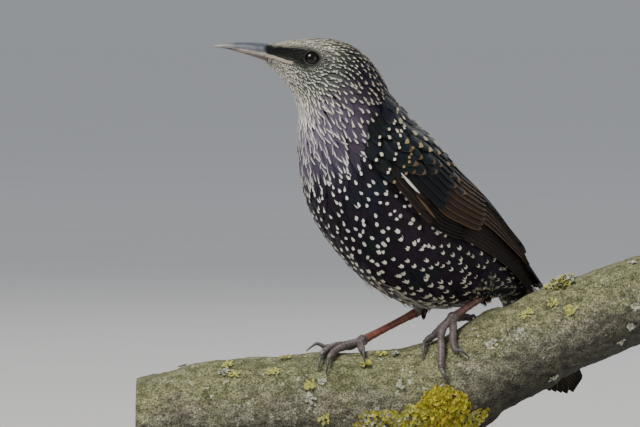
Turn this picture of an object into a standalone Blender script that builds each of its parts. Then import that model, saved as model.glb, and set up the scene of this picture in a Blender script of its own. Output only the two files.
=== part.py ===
"""A common starling in winter plumage, perched, as a life-size museum model on a display stand.

Sizes and places are in millimetres and become metres where a mesh is made.
The bill points to -X, the bird's left side faces -Y, and +Z is up. The origin is under the base.
"""

import math
from dataclasses import astuple, dataclass

import bmesh
import bpy
from mathutils import Matrix, Vector, noise

MM = 0.001
GAP = 0.3
BODY_SIDES = 32

BILL_LENGTH = 24.5
UPPER_HEIGHT = 4.6
LOWER_HEIGHT = 3.5
BILL_HALF_WIDTH = 3.8
NOSTRIL_LENGTH = 2.2

EYE_RADIUS = 3.1
EYE_BULGE = 2.5
LID_RADIUS = 3.0
LID_THICKNESS = 0.55
LID_LIFT = 1.2
EYE_X, EYE_Z = -36.9, 190.6
EYE_INSET = 8.2
EYE_TILT = 11.0

TAIL_LENGTH = 55.4
TAIL_ROLL = 22.0
TAIL_ROUNDING = 1.35
RECTRIX_STEP = 0.75
TAIL_CORE = (
    (0.0, 1.0, 1.0, 0.0),
    (7.0, 0.98, 0.86, -0.1),
    (15.0, 0.9, 0.6, -0.3),
    (22.0, 0.7, 0.3, -0.2),
)
VANE_THICKNESS = 0.55
VANE_STEP = 0.85

TARSUS_RADIUS = 1.55
TOE_RADIUS = 1.4
CLAW_RADIUS = 0.95
CLAW_ARCH = 1.3

BASE_LENGTH, BASE_WIDTH, BASE_HEIGHT = 165.0, 105.0, 9.0
ROD_RADIUS = 4.0
ROD_PLACES = (-36.0, 30.0)


@dataclass(frozen=True)
class Section:
    """An ellipse across the spine: its centre, the spine's slope and turn, and its half sizes."""

    x: float
    y: float
    z: float
    pitch: float
    yaw: float
    half_width: float
    half_depth: float


SPINE = (
    Section(-52.1, -27.0, 191.9, 8.6, 3.0, 4.4, 4.7),
    Section(-47.2, -26.8, 190.2, 10.0, 4.0, 7.2, 7.6),
    Section(-42.4, -26.5, 188.2, 15.0, 4.0, 9.2, 10.7),
    Section(-37.7, -26.2, 185.9, 21.0, 5.0, 10.6, 13.9),
    Section(-33.1, -25.7, 182.7, 29.0, 7.0, 12.3, 17.2),
    Section(-29.6, -25.0, 177.9, 36.5, 12.0, 14.2, 20.6),
    Section(-26.7, -24.0, 172.0, 42.0, 19.0, 16.2, 22.8),
    Section(-24.2, -22.6, 165.4, 45.0, 26.0, 18.2, 24.4),
    Section(-22.0, -20.8, 157.9, 46.0, 31.0, 20.0, 25.3),
    Section(-18.7, -18.3, 149.2, 46.0, 34.0, 22.0, 26.6),
    Section(-13.0, -14.4, 141.1, 46.0, 36.0, 23.6, 28.6),
    Section(-6.6, -9.8, 133.3, 46.0, 36.0, 24.2, 29.6),
    Section(0.4, -4.7, 125.3, 45.0, 36.0, 24.2, 29.8),
    Section(7.8, 0.7, 117.8, 44.0, 36.0, 23.5, 29.0),
    Section(15.5, 6.3, 110.5, 43.0, 36.0, 21.5, 26.2),
    Section(24.0, 12.5, 103.5, 43.0, 36.0, 18.0, 21.0),
    Section(33.5, 19.4, 98.5, 46.0, 36.0, 13.5, 14.5),
    Section(46.4, 28.7, 95.5, 57.0, 36.0, 8.5, 6.5),
)
HEAD_END, NECK_END, TORSO_END = 4.6, 7.8, 17.0

WING = (
    Section(-21.7, -20.6, 158.3, 46.0, 31.0, 22.5, 26.5),
    Section(-18.0, -18.0, 149.9, 46.0, 34.0, 25.5, 27.5),
    Section(-12.3, -13.9, 141.9, 46.0, 36.0, 27.5, 29.5),
    Section(-6.0, -9.3, 134.1, 46.0, 36.0, 28.0, 30.0),
    Section(1.0, -4.3, 126.1, 45.0, 36.0, 28.0, 29.7),
    Section(12.6, 4.2, 119.9, 45.0, 36.0, 27.0, 25.2),
    Section(21.2, 10.4, 115.6, 45.0, 36.0, 23.5, 21.3),
    Section(30.0, 16.8, 110.6, 45.0, 36.0, 19.5, 17.2),
    Section(39.0, 23.4, 104.3, 45.0, 36.0, 16.0, 14.0),
    Section(44.0, 27.0, 99.0, 46.0, 36.0, 14.5, 11.6),
    Section(56.0, 35.7, 86.0, 48.0, 36.0, 12.5, 8.5),
)
WRIST = 0.55
CORE_PLACES = (8.0, 12.7)
CORE_STEPS, CORE_SPOTS = 12, 9
CORE_CLEARANCE = 0.5
CORE_HEIGHT = 2.4


@dataclass(frozen=True)
class Tract:
    """A row of vanes on the folded wing, from its lowest to its highest, in degrees round the body."""

    count: int
    root: float
    tips: tuple
    root_angles: tuple
    tip_angles: tuple
    depth: tuple
    rows: int
    overlap: float = 0.8


PRIMARIES = Tract(8, 0.36, (1.00, 0.80), (98.0, 66.0), (95.0, 40.0), (-1.8, -2.6), 6, 1.1)
SECONDARIES = Tract(5, 0.37, (0.81, 0.84), (70.0, 40.0), (62.0, 26.0), (-1.2, -1.1), 5, 0.95)
TERTIALS = Tract(3, 0.30, (0.80, 0.56), (42.0, 12.0), (32.0, 3.0), (-0.2, 0.1), 5, 0.95)
GREATER_COVERTS = Tract(6, 0.23, (0.49, 0.46), (84.0, 36.0), (82.0, 34.0), (-0.6, 0.4), 3)
PRIMARY_COVERTS = Tract(3, 0.16, (0.46, 0.42), (101.0, 84.0), (100.0, 82.0), (-0.9, -0.2), 3)
MEDIAN_COVERTS = Tract(5, 0.12, (0.30, 0.27), (84.0, 36.0), (82.0, 36.0), (-0.8, 0.7), 3)
ALULA = Tract(2, 0.08, (0.27, 0.22), (101.0, 90.0), (101.0, 90.0), (-0.9, 0.4), 3)
TRACTS = (
    PRIMARIES,
    SECONDARIES,
    TERTIALS,
    GREATER_COVERTS,
    PRIMARY_COVERTS,
    MEDIAN_COVERTS,
    ALULA,
)

PERCH_AXIS = (
    (-108.0, 39.5, 20.0),
    (-76.0, 45.6, 21.2),
    (-40.0, 47.4, 22.2),
    (0.0, 49.2, 22.5),
    (20.5, 54.9, 21.6),
    (41.0, 66.4, 20.0),
    (65.6, 79.1, 18.8),
    (106.0, 93.4, 17.7),
)
BARK_RELIEF = 0.8


@dataclass(frozen=True)
class Toe:
    """A toe laid over the perch.

    Its path and its claw are places along the perch, angles from its top, positive towards -Y,
    and heights of the middle of the toe or claw over it.
    """

    name: str
    path: tuple
    claw: tuple


@dataclass(frozen=True)
class Leg:
    """One leg: the thigh's top, the ankle, the foot's joint and its toes."""

    side: str
    hip: tuple
    ankle: tuple
    joint: tuple
    thigh_radii: tuple
    toes: tuple


RIGHT_LEG = Leg(
    "right",
    (13.0, 19.0, 100.0),
    (8.8, 14.8, 86.5),
    (-15.2, 8.0, 74.4),
    (8.0, 7.0, 5.2, 3.0),
    (
        Toe("inner", ((-19.0, -2.0, 2.6), (-25.0, 12.0, 2.0), (-29.0, 29.0, 1.9)), (-30.2, 53.0)),
        Toe("middle", ((-20.0, -7.0, 3.0), (-27.5, 3.0, 2.2), (-32.0, 22.0, 1.9)), (-33.4, 47.0)),
        Toe("outer", ((-20.0, -17.0, 2.8), (-26.0, -16.0, 2.2), (-31.0, -13.0, 2.4)), (-38.5, -9.0)),
        Toe("hind", ((-16.4, -4.0, 3.0), (-16.0, 9.0, 2.0), (-15.6, 20.0, 1.9)), (-14.6, 38.0)),
    ),
)
LEFT_LEG = Leg(
    "left",
    (28.5, 1.5, 102.5),
    (35.2, 3.4, 93.4),
    (21.5, -7.0, 84.6),
    (7.0, 7.8, 6.4, 3.8),
    (
        Toe("inner", ((16.8, 18.0, 5.0), (13.6, 16.0, 2.6), (10.2, 19.0, 1.9)), (9.0, 45.0)),
        Toe("middle", ((17.0, 24.0, 4.8), (16.6, 46.0, 2.2), (16.4, 64.0, 1.9)), (19.7, 82.0)),
        Toe("outer", ((21.6, 22.0, 3.8), (21.4, 37.0, 2.2), (22.2, 51.0, 1.9)), (27.8, 65.0)),
        Toe("hind", ((24.0, 4.0, 3.6), (26.8, -8.0, 2.2), (29.0, -22.0, 1.9)), (33.0, -42.0)),
    ),
)

COLOURS = {
    "head": (0.030, 0.032, 0.030, 0.45),
    "neck": (0.050, 0.035, 0.060, 0.40),
    "torso": (0.012, 0.012, 0.014, 0.45),
    "bill": (0.090, 0.095, 0.110, 0.35),
    "eye": (0.008, 0.006, 0.005, 0.05),
    "wing": (0.045, 0.028, 0.015, 0.50),
    "tail": (0.035, 0.024, 0.016, 0.50),
    "thigh": (0.030, 0.028, 0.022, 0.60),
    "leg": (0.230, 0.090, 0.050, 0.50),
    "foot": (0.160, 0.120, 0.110, 0.55),
    "claw": (0.040, 0.036, 0.036, 0.35),
    "perch": (0.170, 0.180, 0.110, 0.90),
    "stand": (0.020, 0.018, 0.016, 0.40),
}


def clear_scene():
    """Remove every object of the scene."""
    for item in list(bpy.data.objects):
        bpy.data.objects.remove(item, do_unlink=True)


def collection(name):
    """A new collection in the scene."""
    made = bpy.data.collections.new(name)
    bpy.context.scene.collection.children.link(made)
    return made


def material(name):
    """The Principled material of one kind of surface, made once."""
    found = bpy.data.materials.get(name)
    if found:
        return found
    red, green, blue, roughness = COLOURS[name]
    made = bpy.data.materials.new(name)
    made.use_nodes = True
    shader = made.node_tree.nodes["Principled BSDF"]
    shader.inputs["Base Color"].default_value = (red, green, blue, 1.0)
    shader.inputs["Roughness"].default_value = roughness
    shader.inputs["Metallic"].default_value = 0.0
    return made


def new_object(name, bm, home, surface=None):
    """Turn a bmesh in millimetres into an object in metres, its faces outwards."""
    bmesh.ops.recalc_face_normals(bm, faces=bm.faces)
    bmesh.ops.scale(bm, vec=(MM, MM, MM), verts=bm.verts)
    mesh = bpy.data.meshes.new(name)
    bm.to_mesh(mesh)
    bm.free()
    mesh.shade_smooth()
    mesh.set_sharp_from_angle(angle=math.radians(40))
    if surface:
        mesh.materials.append(material(surface))
    made = bpy.data.objects.new(name, mesh)
    home.objects.link(made)
    return made


def evaluated_mesh(item):
    """A copy of an object's mesh with its modifiers applied."""
    bpy.context.view_layer.update()
    graph = bpy.context.evaluated_depsgraph_get()
    return bpy.data.meshes.new_from_object(item.evaluated_get(graph))


def keep_largest(mesh):
    """Drop every closed surface of a mesh but the one of the largest volume."""
    bm = bmesh.new()
    bm.from_mesh(mesh)
    unseen = set(bm.faces)
    islands = []
    while unseen:
        stack = [unseen.pop()]
        island = []
        while stack:
            face = stack.pop()
            island.append(face)
            for edge in face.edges:
                for other in edge.link_faces:
                    if other in unseen:
                        unseen.discard(other)
                        stack.append(other)
        islands.append(island)
    if len(islands) > 1:
        islands.sort(key=lambda island: abs(island_volume(island)))
        dropped = [face for island in islands[:-1] for face in island]
        bmesh.ops.delete(bm, geom=dropped, context="FACES")
    bm.to_mesh(mesh)
    bm.free()


def island_volume(faces):
    """The signed volume that a closed set of faces holds."""
    total = 0.0
    for face in faces:
        first = face.verts[0].co
        for one, other in zip(face.verts[1:-1], face.verts[2:]):
            total += first.dot(one.co.cross(other.co)) / 6
    return total


def applied(item):
    """Replace an object's mesh by its evaluated one and drop its modifiers."""
    old = item.data
    item.data = evaluated_mesh(item)
    item.modifiers.clear()
    bpy.data.meshes.remove(old)
    keep_largest(item.data)
    item.data.shade_smooth()
    item.data.set_sharp_from_angle(angle=math.radians(40))


def fused(target, pieces, solver="EXACT"):
    """Join closed pieces to a target by one union and remove them."""
    tray = collection(target.name + "_pieces")
    for piece in pieces:
        for home in list(piece.users_collection):
            home.objects.unlink(piece)
        tray.objects.link(piece)
    join = target.modifiers.new("join", "BOOLEAN")
    join.operation = "UNION"
    join.operand_type = "COLLECTION"
    join.collection = tray
    join.solver = solver
    applied(target)
    for piece in pieces:
        bpy.data.objects.remove(piece, do_unlink=True)
    bpy.data.collections.remove(tray)


def cut(target, cutter):
    """Take a cutter's volume from a target, and apply it."""
    cutter.hide_render = True
    cutter.display_type = "WIRE"
    change = target.modifiers.new("cut", "BOOLEAN")
    change.operation = "DIFFERENCE"
    change.object = cutter
    change.solver = "MANIFOLD"
    applied(target)


def swollen(item, margin, name, home):
    """A copy of an object whose surface stands out by a margin in millimetres."""
    bm = bmesh.new()
    bm.from_mesh(item.data)
    bm.normal_update()
    pushes = [vertex.normal * margin * MM for vertex in bm.verts]
    for vertex, push in zip(bm.verts, pushes):
        vertex.co += push
    bmesh.ops.scale(bm, vec=(1 / MM, 1 / MM, 1 / MM), verts=bm.verts)
    return new_object(name, bm, home)


def curve_value(values, place):
    """The value of a Catmull-Rom curve through tuples, at a fractional index."""
    last = len(values) - 1
    place = min(max(place, 0.0), float(last))
    index = min(int(place), last - 1)
    t = place - index
    before = values[max(index - 1, 0)]
    first, second = values[index], values[index + 1]
    after = values[min(index + 2, last)]
    weights = (
        (-t + 2 * t * t - t**3) / 2,
        (2 - 5 * t * t + 3 * t**3) / 2,
        (t + 4 * t * t - 3 * t**3) / 2,
        (-t * t + t**3) / 2,
    )
    rows = zip(before, first, second, after)
    return tuple(sum(w * v for w, v in zip(weights, row)) for row in rows)


def section_at(sections, place):
    """The section at a fractional index of a list."""
    return Section(*curve_value([astuple(one) for one in sections], place))


def axes(section):
    """The directions towards the tail, the back and the bird's left at a section."""
    pitch, yaw = math.radians(section.pitch), math.radians(section.yaw)
    tailward = Vector(
        (math.cos(pitch) * math.cos(yaw), math.cos(pitch) * math.sin(yaw), -math.sin(pitch))
    )
    upward = Vector(
        (math.sin(pitch) * math.cos(yaw), math.sin(pitch) * math.sin(yaw), math.cos(pitch))
    )
    leftward = Vector((math.sin(yaw), -math.cos(yaw), 0.0))
    return tailward, upward, leftward


def centre(section):
    """The centre of a section."""
    return Vector((section.x, section.y, section.z))


def skin_point(sections, place, angle, margin=0.0):
    """A point round a section: the angle is from the back, positive on the bird's left."""
    section = section_at(sections, place)
    _, upward, leftward = axes(section)
    turn = math.radians(angle)
    across = (section.half_width + margin) * math.sin(turn)
    rise = (section.half_depth + margin) * math.cos(turn)
    return centre(section) + leftward * across + upward * rise


def places_between(first, last, steps):
    """Evenly spaced numbers, both ends included."""
    return [first + (last - first) * i / steps for i in range(steps + 1)]


def loft(rings):
    """A closed bmesh through rings of points, with flat ends."""
    bm = bmesh.new()
    rows = [[bm.verts.new(point) for point in ring] for ring in rings]
    sides = len(rings[0])
    for near, far in zip(rows, rows[1:]):
        for i in range(sides):
            j = (i + 1) % sides
            bm.faces.new((near[i], near[j], far[j], far[i]))
    bm.faces.new(rows[0])
    bm.faces.new(list(reversed(rows[-1])))
    return bm


def spine_ring(place):
    """The ring of the body at a place on the spine."""
    step = 360.0 / BODY_SIDES
    return [skin_point(SPINE, place, i * step) for i in range(BODY_SIDES)]


def body_piece(name, first, last, steps, home):
    """A length of the body, cut off a thin gap behind the piece before it."""
    rings = [spine_ring(place) for place in places_between(first, last, steps)]
    if first > 0:
        tailward = axes(section_at(SPINE, first))[0]
        rings[0] = [point + tailward * GAP for point in rings[0]]
    return new_object(name, loft(rings), home, name)


def smooth_path(points, steps):
    """Points along a smooth curve through a few places."""
    last = len(points) - 1
    return [Vector(curve_value(points, place)) for place in places_between(0, last, steps)]


def tube(name, points, radii, resolution, home, surface=None):
    """A tapered tube through points, made as a curve and turned into a closed mesh."""
    curve = bpy.data.curves.new(name, "CURVE")
    curve.dimensions = "3D"
    curve.bevel_depth = MM
    curve.bevel_resolution = resolution
    curve.use_fill_caps = True
    spline = curve.splines.new("POLY")
    spline.points.add(len(points) - 1)
    for knot, point, radius in zip(spline.points, points, radii):
        knot.co = (*(Vector(point) * MM), 1.0)
        knot.radius = radius
    guide = bpy.data.objects.new(name + "_guide", curve)
    home.objects.link(guide)
    bm = bmesh.new()
    mesh = evaluated_mesh(guide)
    bm.from_mesh(mesh)
    bmesh.ops.remove_doubles(bm, verts=bm.verts, dist=1e-6)
    bmesh.ops.scale(bm, vec=(1 / MM, 1 / MM, 1 / MM), verts=bm.verts)
    bpy.data.objects.remove(guide, do_unlink=True)
    bpy.data.meshes.remove(mesh)
    return new_object(name, bm, home, surface)


def radii_along(few, count):
    """Radii at evenly spaced points of a curve through a few."""
    last = len(few) - 1
    knots = [(value,) for value in few]
    return [curve_value(knots, place)[0] for place in places_between(0, last, count - 1)]


def bill_axes():
    """The bill's base, its direction to the tip, and its up and left directions."""
    base = section_at(SPINE, 0)
    tailward, upward, leftward = axes(base)
    return centre(base), -tailward, upward, leftward


def bill_profile(t):
    """Half width, culmen, mouth line and lower edge at a fraction of the bill's length."""
    half_width = BILL_HALF_WIDTH * (1 - t) ** 0.75 + 0.25
    culmen = (UPPER_HEIGHT - 0.4) * (1 - t**1.7) ** 0.62 * (1 - 0.42 * t)
    mouth = -0.45 + 1.0 * t ** 0.7 - 0.45 * t**4
    lower = -LOWER_HEIGHT * (1 - t) ** 1.35 - 0.45
    return half_width, culmen, mouth, min(lower + mouth + 0.45, mouth - 0.3)


def bill_ring(t, upper):
    """The closed section of one mandible: an arch over or under the flat mouth line."""
    base, forward, upward, leftward = bill_axes()
    half_width, culmen, mouth, lower = bill_profile(t)
    edge = mouth + GAP / 2 if upper else mouth - GAP / 2
    crown = max(culmen, edge + 0.3) if upper else min(lower, edge - 0.25)
    place = base + forward * (GAP + t * (BILL_LENGTH - GAP))
    ring = []
    for i in range(9):
        turn = math.pi * i / 8
        across = half_width * math.cos(turn)
        height = edge + (crown - edge) * math.sin(turn) ** 0.9
        ring.append(place + leftward * across + upward * height)
    return ring


def bill_pieces(home, cutters):
    """The two mandibles, with the nostrils cut into the upper one."""
    places = (0.0, 0.1, 0.22, 0.36, 0.5, 0.64, 0.77, 0.88, 0.95, 1.0)
    upper = new_object("bill_upper", loft([bill_ring(t, True) for t in places]), home, "bill")
    short = [t * 0.975 for t in places]
    new_object("bill_lower", loft([bill_ring(t, False) for t in short]), home, "bill")
    base, forward, upward, leftward = bill_axes()
    turned = Matrix((forward, leftward, upward)).transposed().to_4x4()
    for side in (1, -1):
        bm = bmesh.new()
        bmesh.ops.create_uvsphere(bm, u_segments=10, v_segments=6, radius=1.0)
        bmesh.ops.scale(bm, vec=(NOSTRIL_LENGTH / 2, 0.9, 0.55), verts=bm.verts)
        place = base + forward * 2.9 + upward * 2.0 + leftward * side * 3.35
        bmesh.ops.transform(bm, matrix=Matrix.Translation(place) @ turned, verts=bm.verts)
        nostril = new_object(f"nostril_{side}", bm, cutters)
        cut(upper, nostril)


def eye_matrix(side):
    """The placing of an eye: its own Z points out of the head and a little up."""
    section = section_at(SPINE, 3)
    leftward = axes(section)[2]
    tilt = math.radians(EYE_TILT)
    outward = leftward * (side * math.cos(tilt)) + Vector((0.0, 0.0, math.sin(tilt)))
    middle = Vector((EYE_X, section.y, EYE_Z))
    place = middle + leftward * (side * EYE_INSET)
    along = Vector((0.0, 0.0, 1.0)).cross(outward).normalized()
    upward = outward.cross(along)
    turned = Matrix((along, upward, outward)).transposed().to_4x4()
    return Matrix.Translation(place) @ turned


def eyeball(name, side, margin, home, surface=None):
    """A flattened ball for an eye, or with a margin its socket."""
    bm = bmesh.new()
    bmesh.ops.create_uvsphere(bm, u_segments=14, v_segments=8, radius=1.0)
    flat = (EYE_RADIUS + margin, EYE_RADIUS + margin, EYE_BULGE + margin)
    bmesh.ops.scale(bm, vec=flat, verts=bm.verts)
    bmesh.ops.transform(bm, matrix=eye_matrix(side), verts=bm.verts)
    return new_object(name, bm, home, surface)


def lid_ring(side, home):
    """The lids: a low oval ring round an eye, drawn out a little at its corners."""
    bm = bmesh.new()
    rings = []
    for i in range(18):
        turn = math.tau * i / 18
        corner = 1 + 0.08 * math.cos(turn) ** 2
        out = Vector((math.cos(turn) * corner, math.sin(turn) * 0.96, 0.0))
        middle = out * LID_RADIUS + Vector((0.0, 0.0, LID_LIFT))
        ring = []
        for j in range(6):
            lean = math.tau * j / 6
            push = out * math.cos(lean) + Vector((0.0, 0.0, 1.6 * math.sin(lean)))
            ring.append(bm.verts.new(middle + push * LID_THICKNESS))
        rings.append(ring)
    for near, far in zip(rings, rings[1:] + rings[:1]):
        for j in range(6):
            k = (j + 1) % 6
            bm.faces.new((near[j], near[k], far[k], far[j]))
    bmesh.ops.transform(bm, matrix=eye_matrix(side), verts=bm.verts)
    return new_object(f"lids_{side}", bm, home)


def mouth_slit(cutters):
    """A thin slab that carries the line of the mouth from the bill back to its corner."""
    base, forward, upward, leftward = bill_axes()
    rings = []
    for back, height, half in ((-1.0, -0.45, 0.22), (3.4, -1.5, 0.2), (8.6, -1.7, 0.14)):
        place = base - forward * back + upward * height
        low, high = upward * -half, upward * half
        far = leftward * 14
        rings.append([place - far + low, place + far + low, place + far + high, place - far + high])
    return new_object("mouth_slit", loft(rings), cutters)


def head_piece(home, cutters):
    """The head with lids, eye sockets and the line of the mouth."""
    head = body_piece("head", 0.0, HEAD_END, 11, home)
    fused(head, [lid_ring(side, home) for side in (1, -1)])
    for name, side in (("left", 1), ("right", -1)):
        cut(head, eyeball(f"socket_{name}", side, GAP, cutters))
        eyeball(f"eye_{name}", side, 0.0, home, "eye")
    cut(head, mouth_slit(cutters))
    head.data.materials.clear()
    head.data.materials.append(material("head"))
    return head


def wing_reach():
    """Distances of the wing's sections along it, from the wrist, and its whole length."""
    last = len(WING) - 1
    places = places_between(WRIST, last, 80)
    centres = [centre(section_at(WING, place)) for place in places]
    reach = [0.0]
    for one, other in zip(centres, centres[1:]):
        reach.append(reach[-1] + (other - one).length)
    return places, reach


WING_PLACES, WING_REACH = wing_reach()


def wing_place(fraction):
    """The index among the wing's sections at a fraction of its length."""
    wanted = fraction * WING_REACH[-1]
    for i in range(1, len(WING_REACH)):
        if WING_REACH[i] >= wanted:
            break
    span = WING_REACH[i] - WING_REACH[i - 1]
    part = (wanted - WING_REACH[i - 1]) / span
    return WING_PLACES[i - 1] + part * (WING_PLACES[i] - WING_PLACES[i - 1])


def vane_width(t):
    """A vane's width along it: narrow at the root, full past the middle, rounded at the tip."""
    opening = min(1.0, 0.55 + 1.3 * t)
    rounding = math.sqrt(max(0.0, 1 - max(0.0, (t - 0.78) / 0.235) ** 2))
    return opening * max(rounding, 0.25)


def plate(name, place_of, columns, rows, thickness, home):
    """A thin closed plate whose middle surface is given over -1..1 across and 0..1 along."""
    bm = bmesh.new()
    bmesh.ops.create_grid(bm, x_segments=columns, y_segments=rows, size=1.0)
    for vertex in bm.verts:
        vertex.co = place_of(vertex.co.x, (vertex.co.y + 1) / 2)
    bmesh.ops.triangulate(bm, faces=bm.faces, quad_method="FIXED")
    bmesh.ops.recalc_face_normals(bm, faces=bm.faces)
    bmesh.ops.solidify(bm, geom=bm.faces, thickness=thickness)
    return new_object(name, bm, home)


def blend(pair, t):
    """A value part of the way between two."""
    return pair[0] + (pair[1] - pair[0]) * t


def wing_vane(name, tract, index, side, home):
    """One vane of a tract: its lower edge lies over the next vane's upper edge."""
    t_row = index / max(tract.count - 1, 1)
    tip = blend(tract.tips, t_row)
    at_root = blend(tract.root_angles, (index + 0.5) / tract.count)
    at_tip = blend(tract.tip_angles, (index + 0.5) / tract.count)
    half_root = tract.overlap * abs(tract.root_angles[1] - tract.root_angles[0]) / tract.count
    half_tip = tract.overlap * abs(tract.tip_angles[1] - tract.tip_angles[0]) / tract.count

    def place_of(across, along):
        fraction = blend((tract.root, tip), along)
        reach = (fraction - tract.root) / (max(tract.tips) - tract.root)
        middle = blend((at_root, at_tip), reach)
        half = blend((half_root, half_tip), reach) * vane_width(along)
        angle = middle + across * half
        margin = blend(tract.depth, min(1.0, reach * 1.4)) + across * VANE_STEP * tract.overlap
        return skin_point(WING, wing_place(fraction), side * angle, margin)

    return plate(name, place_of, 1, tract.rows, VANE_THICKNESS, home)


def wing_core(name, side, home):
    """The wing's solid front: a pad on the body under the coverts, thin at its edges."""
    rings = []
    for i in range(CORE_STEPS + 1):
        along = i / CORE_STEPS
        place = blend(CORE_PLACES, along)
        full = math.sqrt(1 - (1 - min(1.0, along / 0.35)) ** 2)
        top = blend((58.0, blend((24.0, 12.0), along)), full)
        low = blend((72.0, blend((103.0, 84.0), along)), full)
        inner, outer = [], []
        for j in range(CORE_SPOTS + 1):
            angle = side * blend((top, low), j / CORE_SPOTS)
            bulge = math.sin(math.pi * (0.1 + 0.8 * j / CORE_SPOTS)) ** 0.8
            inner.append(skin_point(SPINE, place, angle, CORE_CLEARANCE))
            height = CORE_CLEARANCE + 0.6 + CORE_HEIGHT * bulge * (0.25 + 0.75 * full)
            outer.append(skin_point(SPINE, place, angle, height))
        rings.append(inner + outer[::-1])
    return new_object(name, loft(rings), home, "wing")


def wing_piece(name, side, home):
    """A folded wing: its core and every tract of vanes, fused at their roots."""
    wing = wing_core(name, side, home)
    vanes = []
    for t, tract in enumerate(TRACTS):
        for i in range(tract.count):
            vanes.append(wing_vane(f"{name}_vane_{t}_{i}", tract, i, side, home))
    fused(wing, vanes)
    return wing


def tail_axes():
    """The tail's base and its directions."""
    base = section_at(SPINE, TORSO_END)
    tailward, upward, leftward = axes(base)
    roll = Matrix.Rotation(-math.radians(TAIL_ROLL), 3, tailward)
    return centre(base) + tailward * GAP, tailward, roll @ upward, roll @ leftward


def rectrix(index, side, home):
    """A tail feather: the middle pair lies on top, and each next one outwards below it."""
    base, tailward, upward, leftward = tail_axes()
    root_across = 0.9 + index * 0.75
    tip_across = 1.5 + index * 1.85
    half = 3.1 if index < 5 else 2.7
    length = TAIL_LENGTH - TAIL_ROUNDING * index
    drop = -index * RECTRIX_STEP - (RECTRIX_STEP / 2 if side < 0 else 0.0)

    def place_of(across, along):
        middle = blend((root_across, tip_across), along)
        tip_round = 1.0 if along < 0.85 else math.sqrt(1 - ((along - 0.85) / 0.17) ** 2)
        width = half * (0.75 + 0.25 * along) * tip_round
        reach = 3.0 + along * (length - 3.0)
        height = 2.9 + drop - 0.25 * across * across
        return (
            base
            + tailward * reach
            + leftward * (side * (middle + across * width))
            + upward * height
        )

    return plate(f"rectrix_{index}_{side}", place_of, 2, 5, VANE_THICKNESS, home)


def tail_piece(home):
    """The tail: a short core that carries the coverts, and twelve tail feathers."""
    base, tailward, upward, leftward = tail_axes()
    first = section_at(SPINE, TORSO_END)
    rings = []
    for along, wide, deep, lift in TAIL_CORE:
        ring = []
        for i in range(24):
            turn = math.tau * i / 24
            across = leftward * (first.half_width * wide * math.sin(turn))
            rise = upward * (first.half_depth * deep * math.cos(turn) + lift)
            ring.append(base + tailward * along + across + rise)
        rings.append(ring)
    tail = new_object("tail", loft(rings), home, "tail")
    fused(tail, [rectrix(i, side, home) for side in (1, -1) for i in range(6)])


def perch_axis(x):
    """The perch's centre height, radius and slope at a place along X."""
    for i in range(1, len(PERCH_AXIS)):
        if PERCH_AXIS[i][0] >= x:
            break
    place = i - 1 + (x - PERCH_AXIS[i - 1][0]) / (PERCH_AXIS[i][0] - PERCH_AXIS[i - 1][0])
    _, height, radius = curve_value(PERCH_AXIS, place)
    return height, radius


def on_perch(x, angle, height):
    """A point over the perch: the angle is from its top, positive towards -Y."""
    middle, radius = perch_axis(x)
    slope = math.atan2(perch_axis(x + 1.0)[0] - perch_axis(x - 1.0)[0], 2.0)
    turn = math.radians(angle)
    out = radius + height
    rise = out * math.cos(turn) / math.cos(slope)
    return Vector((x, -out * math.sin(turn), middle + rise))


def perch_piece(home):
    """A short cut length of a branch, its bark uneven and its ends sawn flat."""
    first, last = PERCH_AXIS[0][0], PERCH_AXIS[-1][0]
    xs = places_between(first, last, 24)
    points = [Vector((x, 0.0, perch_axis(x)[0])) for x in xs]
    radii = [perch_axis(x)[1] for x in xs]
    perch = tube("perch", points, radii, 10, home, "perch")
    for vertex in perch.data.vertices:
        x = vertex.co.x / MM
        if first + 4 < x < last - 4:
            middle = Vector((x, 0.0, perch_axis(x)[0])) * MM
            relief = noise.noise(vertex.co / (14 * MM)) + 0.6 * noise.noise(vertex.co / (6 * MM))
            outward = (vertex.co - middle).normalized()
            vertex.co += outward * BARK_RELIEF * MM * (relief - 0.5)
    return perch


def stand_pieces(home, cutters, perch):
    """The base and the two rods that carry the perch."""
    bm = bmesh.new()
    bmesh.ops.create_cube(bm, size=1.0)
    bmesh.ops.scale(bm, vec=(BASE_LENGTH, BASE_WIDTH, BASE_HEIGHT), verts=bm.verts)
    bmesh.ops.translate(bm, vec=(0, 0, BASE_HEIGHT / 2), verts=bm.verts)
    upright = [edge for edge in bm.edges if abs(edge.verts[0].co.z - edge.verts[1].co.z) > 1]
    bmesh.ops.bevel(bm, geom=upright, offset=8, segments=5, profile=0.5, affect="EDGES")
    top = [edge for edge in bm.edges if min(v.co.z for v in edge.verts) > BASE_HEIGHT - 0.1]
    bmesh.ops.bevel(bm, geom=top, offset=2.0, segments=3, profile=0.5, affect="EDGES")
    new_object("stand_base", bm, home, "stand")
    room = swollen(perch, GAP, "perch_room", cutters)
    for name, x in zip(("stand_rod_left", "stand_rod_right"), ROD_PLACES):
        bottom = BASE_HEIGHT + GAP
        top_height = perch_axis(x)[0]
        bm = bmesh.new()
        bmesh.ops.create_cone(
            bm,
            cap_ends=True,
            segments=24,
            radius1=ROD_RADIUS,
            radius2=ROD_RADIUS,
            depth=top_height - bottom,
        )
        bmesh.ops.translate(bm, vec=(x, 0, (top_height + bottom) / 2), verts=bm.verts)
        rod = new_object(name, bm, home, "stand")
        cut(rod, room)
    return room


def toe_points(toe, joint):
    """A toe's path from the foot's joint down to the perch and along it."""
    return [joint] + [tuple(on_perch(*knot)) for knot in toe.path]


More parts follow.
